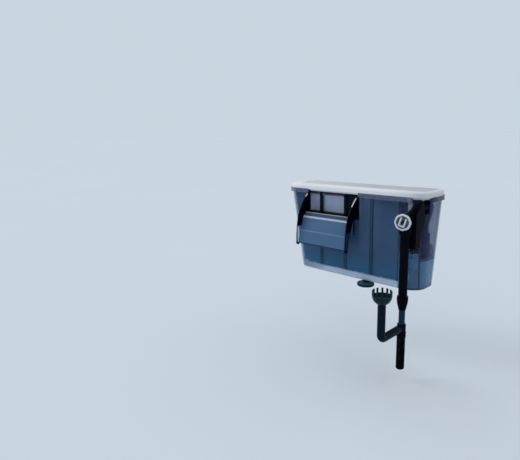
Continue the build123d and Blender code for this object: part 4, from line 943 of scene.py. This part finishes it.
# %% Knob
def knob_surface(node, columns=240, rows=150):
    """A turned cap: radius r(t) (1 + 0.02 cos 8a), depth d(t) + grip, for turn a and profile place t.

    The grip stands on the dish wherever a point lies near a U: two bars either side of the middle,
    joined at their foot, and leaning. It is full within 0.6 of `grip_width` of the U's line and
    gone past 1.6 of it. The crest, which the finish reads to paint a highlight, is 1 on the rim and on the
    grip.
    """
    forward = np.array([sin(knob_turn_in), -cos(knob_turn_in), 0.0])
    side = np.array([cos(knob_turn_in), sin(knob_turn_in), 0.0])
    points = node_points(node)
    across, height, back = points @ side, points[:, 2], (points @ forward).min()
    middle = (side * (across.min() + across.max()) + [0, 0, height.min() + height.max()]) / 2
    passed = travelled(knob_profile)
    place = np.linspace(0, passed[-1], rows)
    radius, depth = (np.interp(place, passed, knob_profile[:, i])[:, None] for i in (0, 1))
    turn = np.linspace(0, 2 * pi, columns, endpoint=False)
    rippled = radius * (1 + facet_depth * np.cos(facets * turn) * (radius > facets_from))
    u, v = rippled * np.cos(turn), rippled * np.sin(turn)
    p, q = u * cos(grip_lean) - v * sin(grip_lean), u * sin(grip_lean) + v * cos(grip_lean)
    past_ends = np.clip(grip_foot - q, 0, None) + np.clip(q - grip_top, 0, None)
    bars = np.hypot(np.abs(p) - grip_half, past_ends)
    foot = np.hypot(q - grip_foot, np.clip(np.abs(p) - grip_half, 0, None))
    in_dish = place[:, None] > passed[dish_edge]
    grip = in_dish * np.clip(grip_reach - np.minimum(bars, foot) / grip_width, 0, 1)
    crest = np.maximum(grip, (radius > rim_radius) * (depth > rim_depth))
    deep = back + depth + grip_height * grip
    return middle + u[..., None] * side + v[..., None] * [0, 0, 1] + deep[..., None] * forward, crest


def knob_finish():
    """Clear plastic that shows the black valve through its dish, with a painted highlight on its rim and
    grip.
    """
    finish = new_finish("knob_plastic")
    crest = finish.node("ShaderNodeAttribute", {"attribute_name": "crest"}, output="Fac")
    flow = finish.noise(120.0, 3.0)
    haze = finish.noise(400.0, 4.0)
    # painted highlight: the crest mask lightens the rim and the grip
    tone = finish.mix(crest, (0.050, 0.075, 0.085), (0.74, 0.79, 0.86))
    return finish.see_through(
        0.55 + 0.35 * crest + 0.08 * haze, (0.80, 0.86, 0.92),
        Base_Color=finish.mix(0.45 * flow, tone, (0.30, 0.35, 0.40)),
        Roughness=0.08 + 0.10 * haze, Specular_IOR_Level=0.5,
        Normal=finish.bump(flow, 0.10, 0.0003))


knob_grid, knob_painted_highlight_crest = knob_surface("flow_knob")
knob = closed_mesh("flow_knob_cap", knob_grid)
fan_middles = [0.0, 0.0]
knob.data.attributes.new("crest", "FLOAT", "POINT").data.foreach_set(
    "value", np.concatenate([knob_painted_highlight_crest.ravel(), fan_middles]).astype(np.float32))
knob.data.materials.append(knob_finish())
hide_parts("flow_knob")
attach(knob, "valve")
print("knob made of", len(knob.data.polygons), "faces")
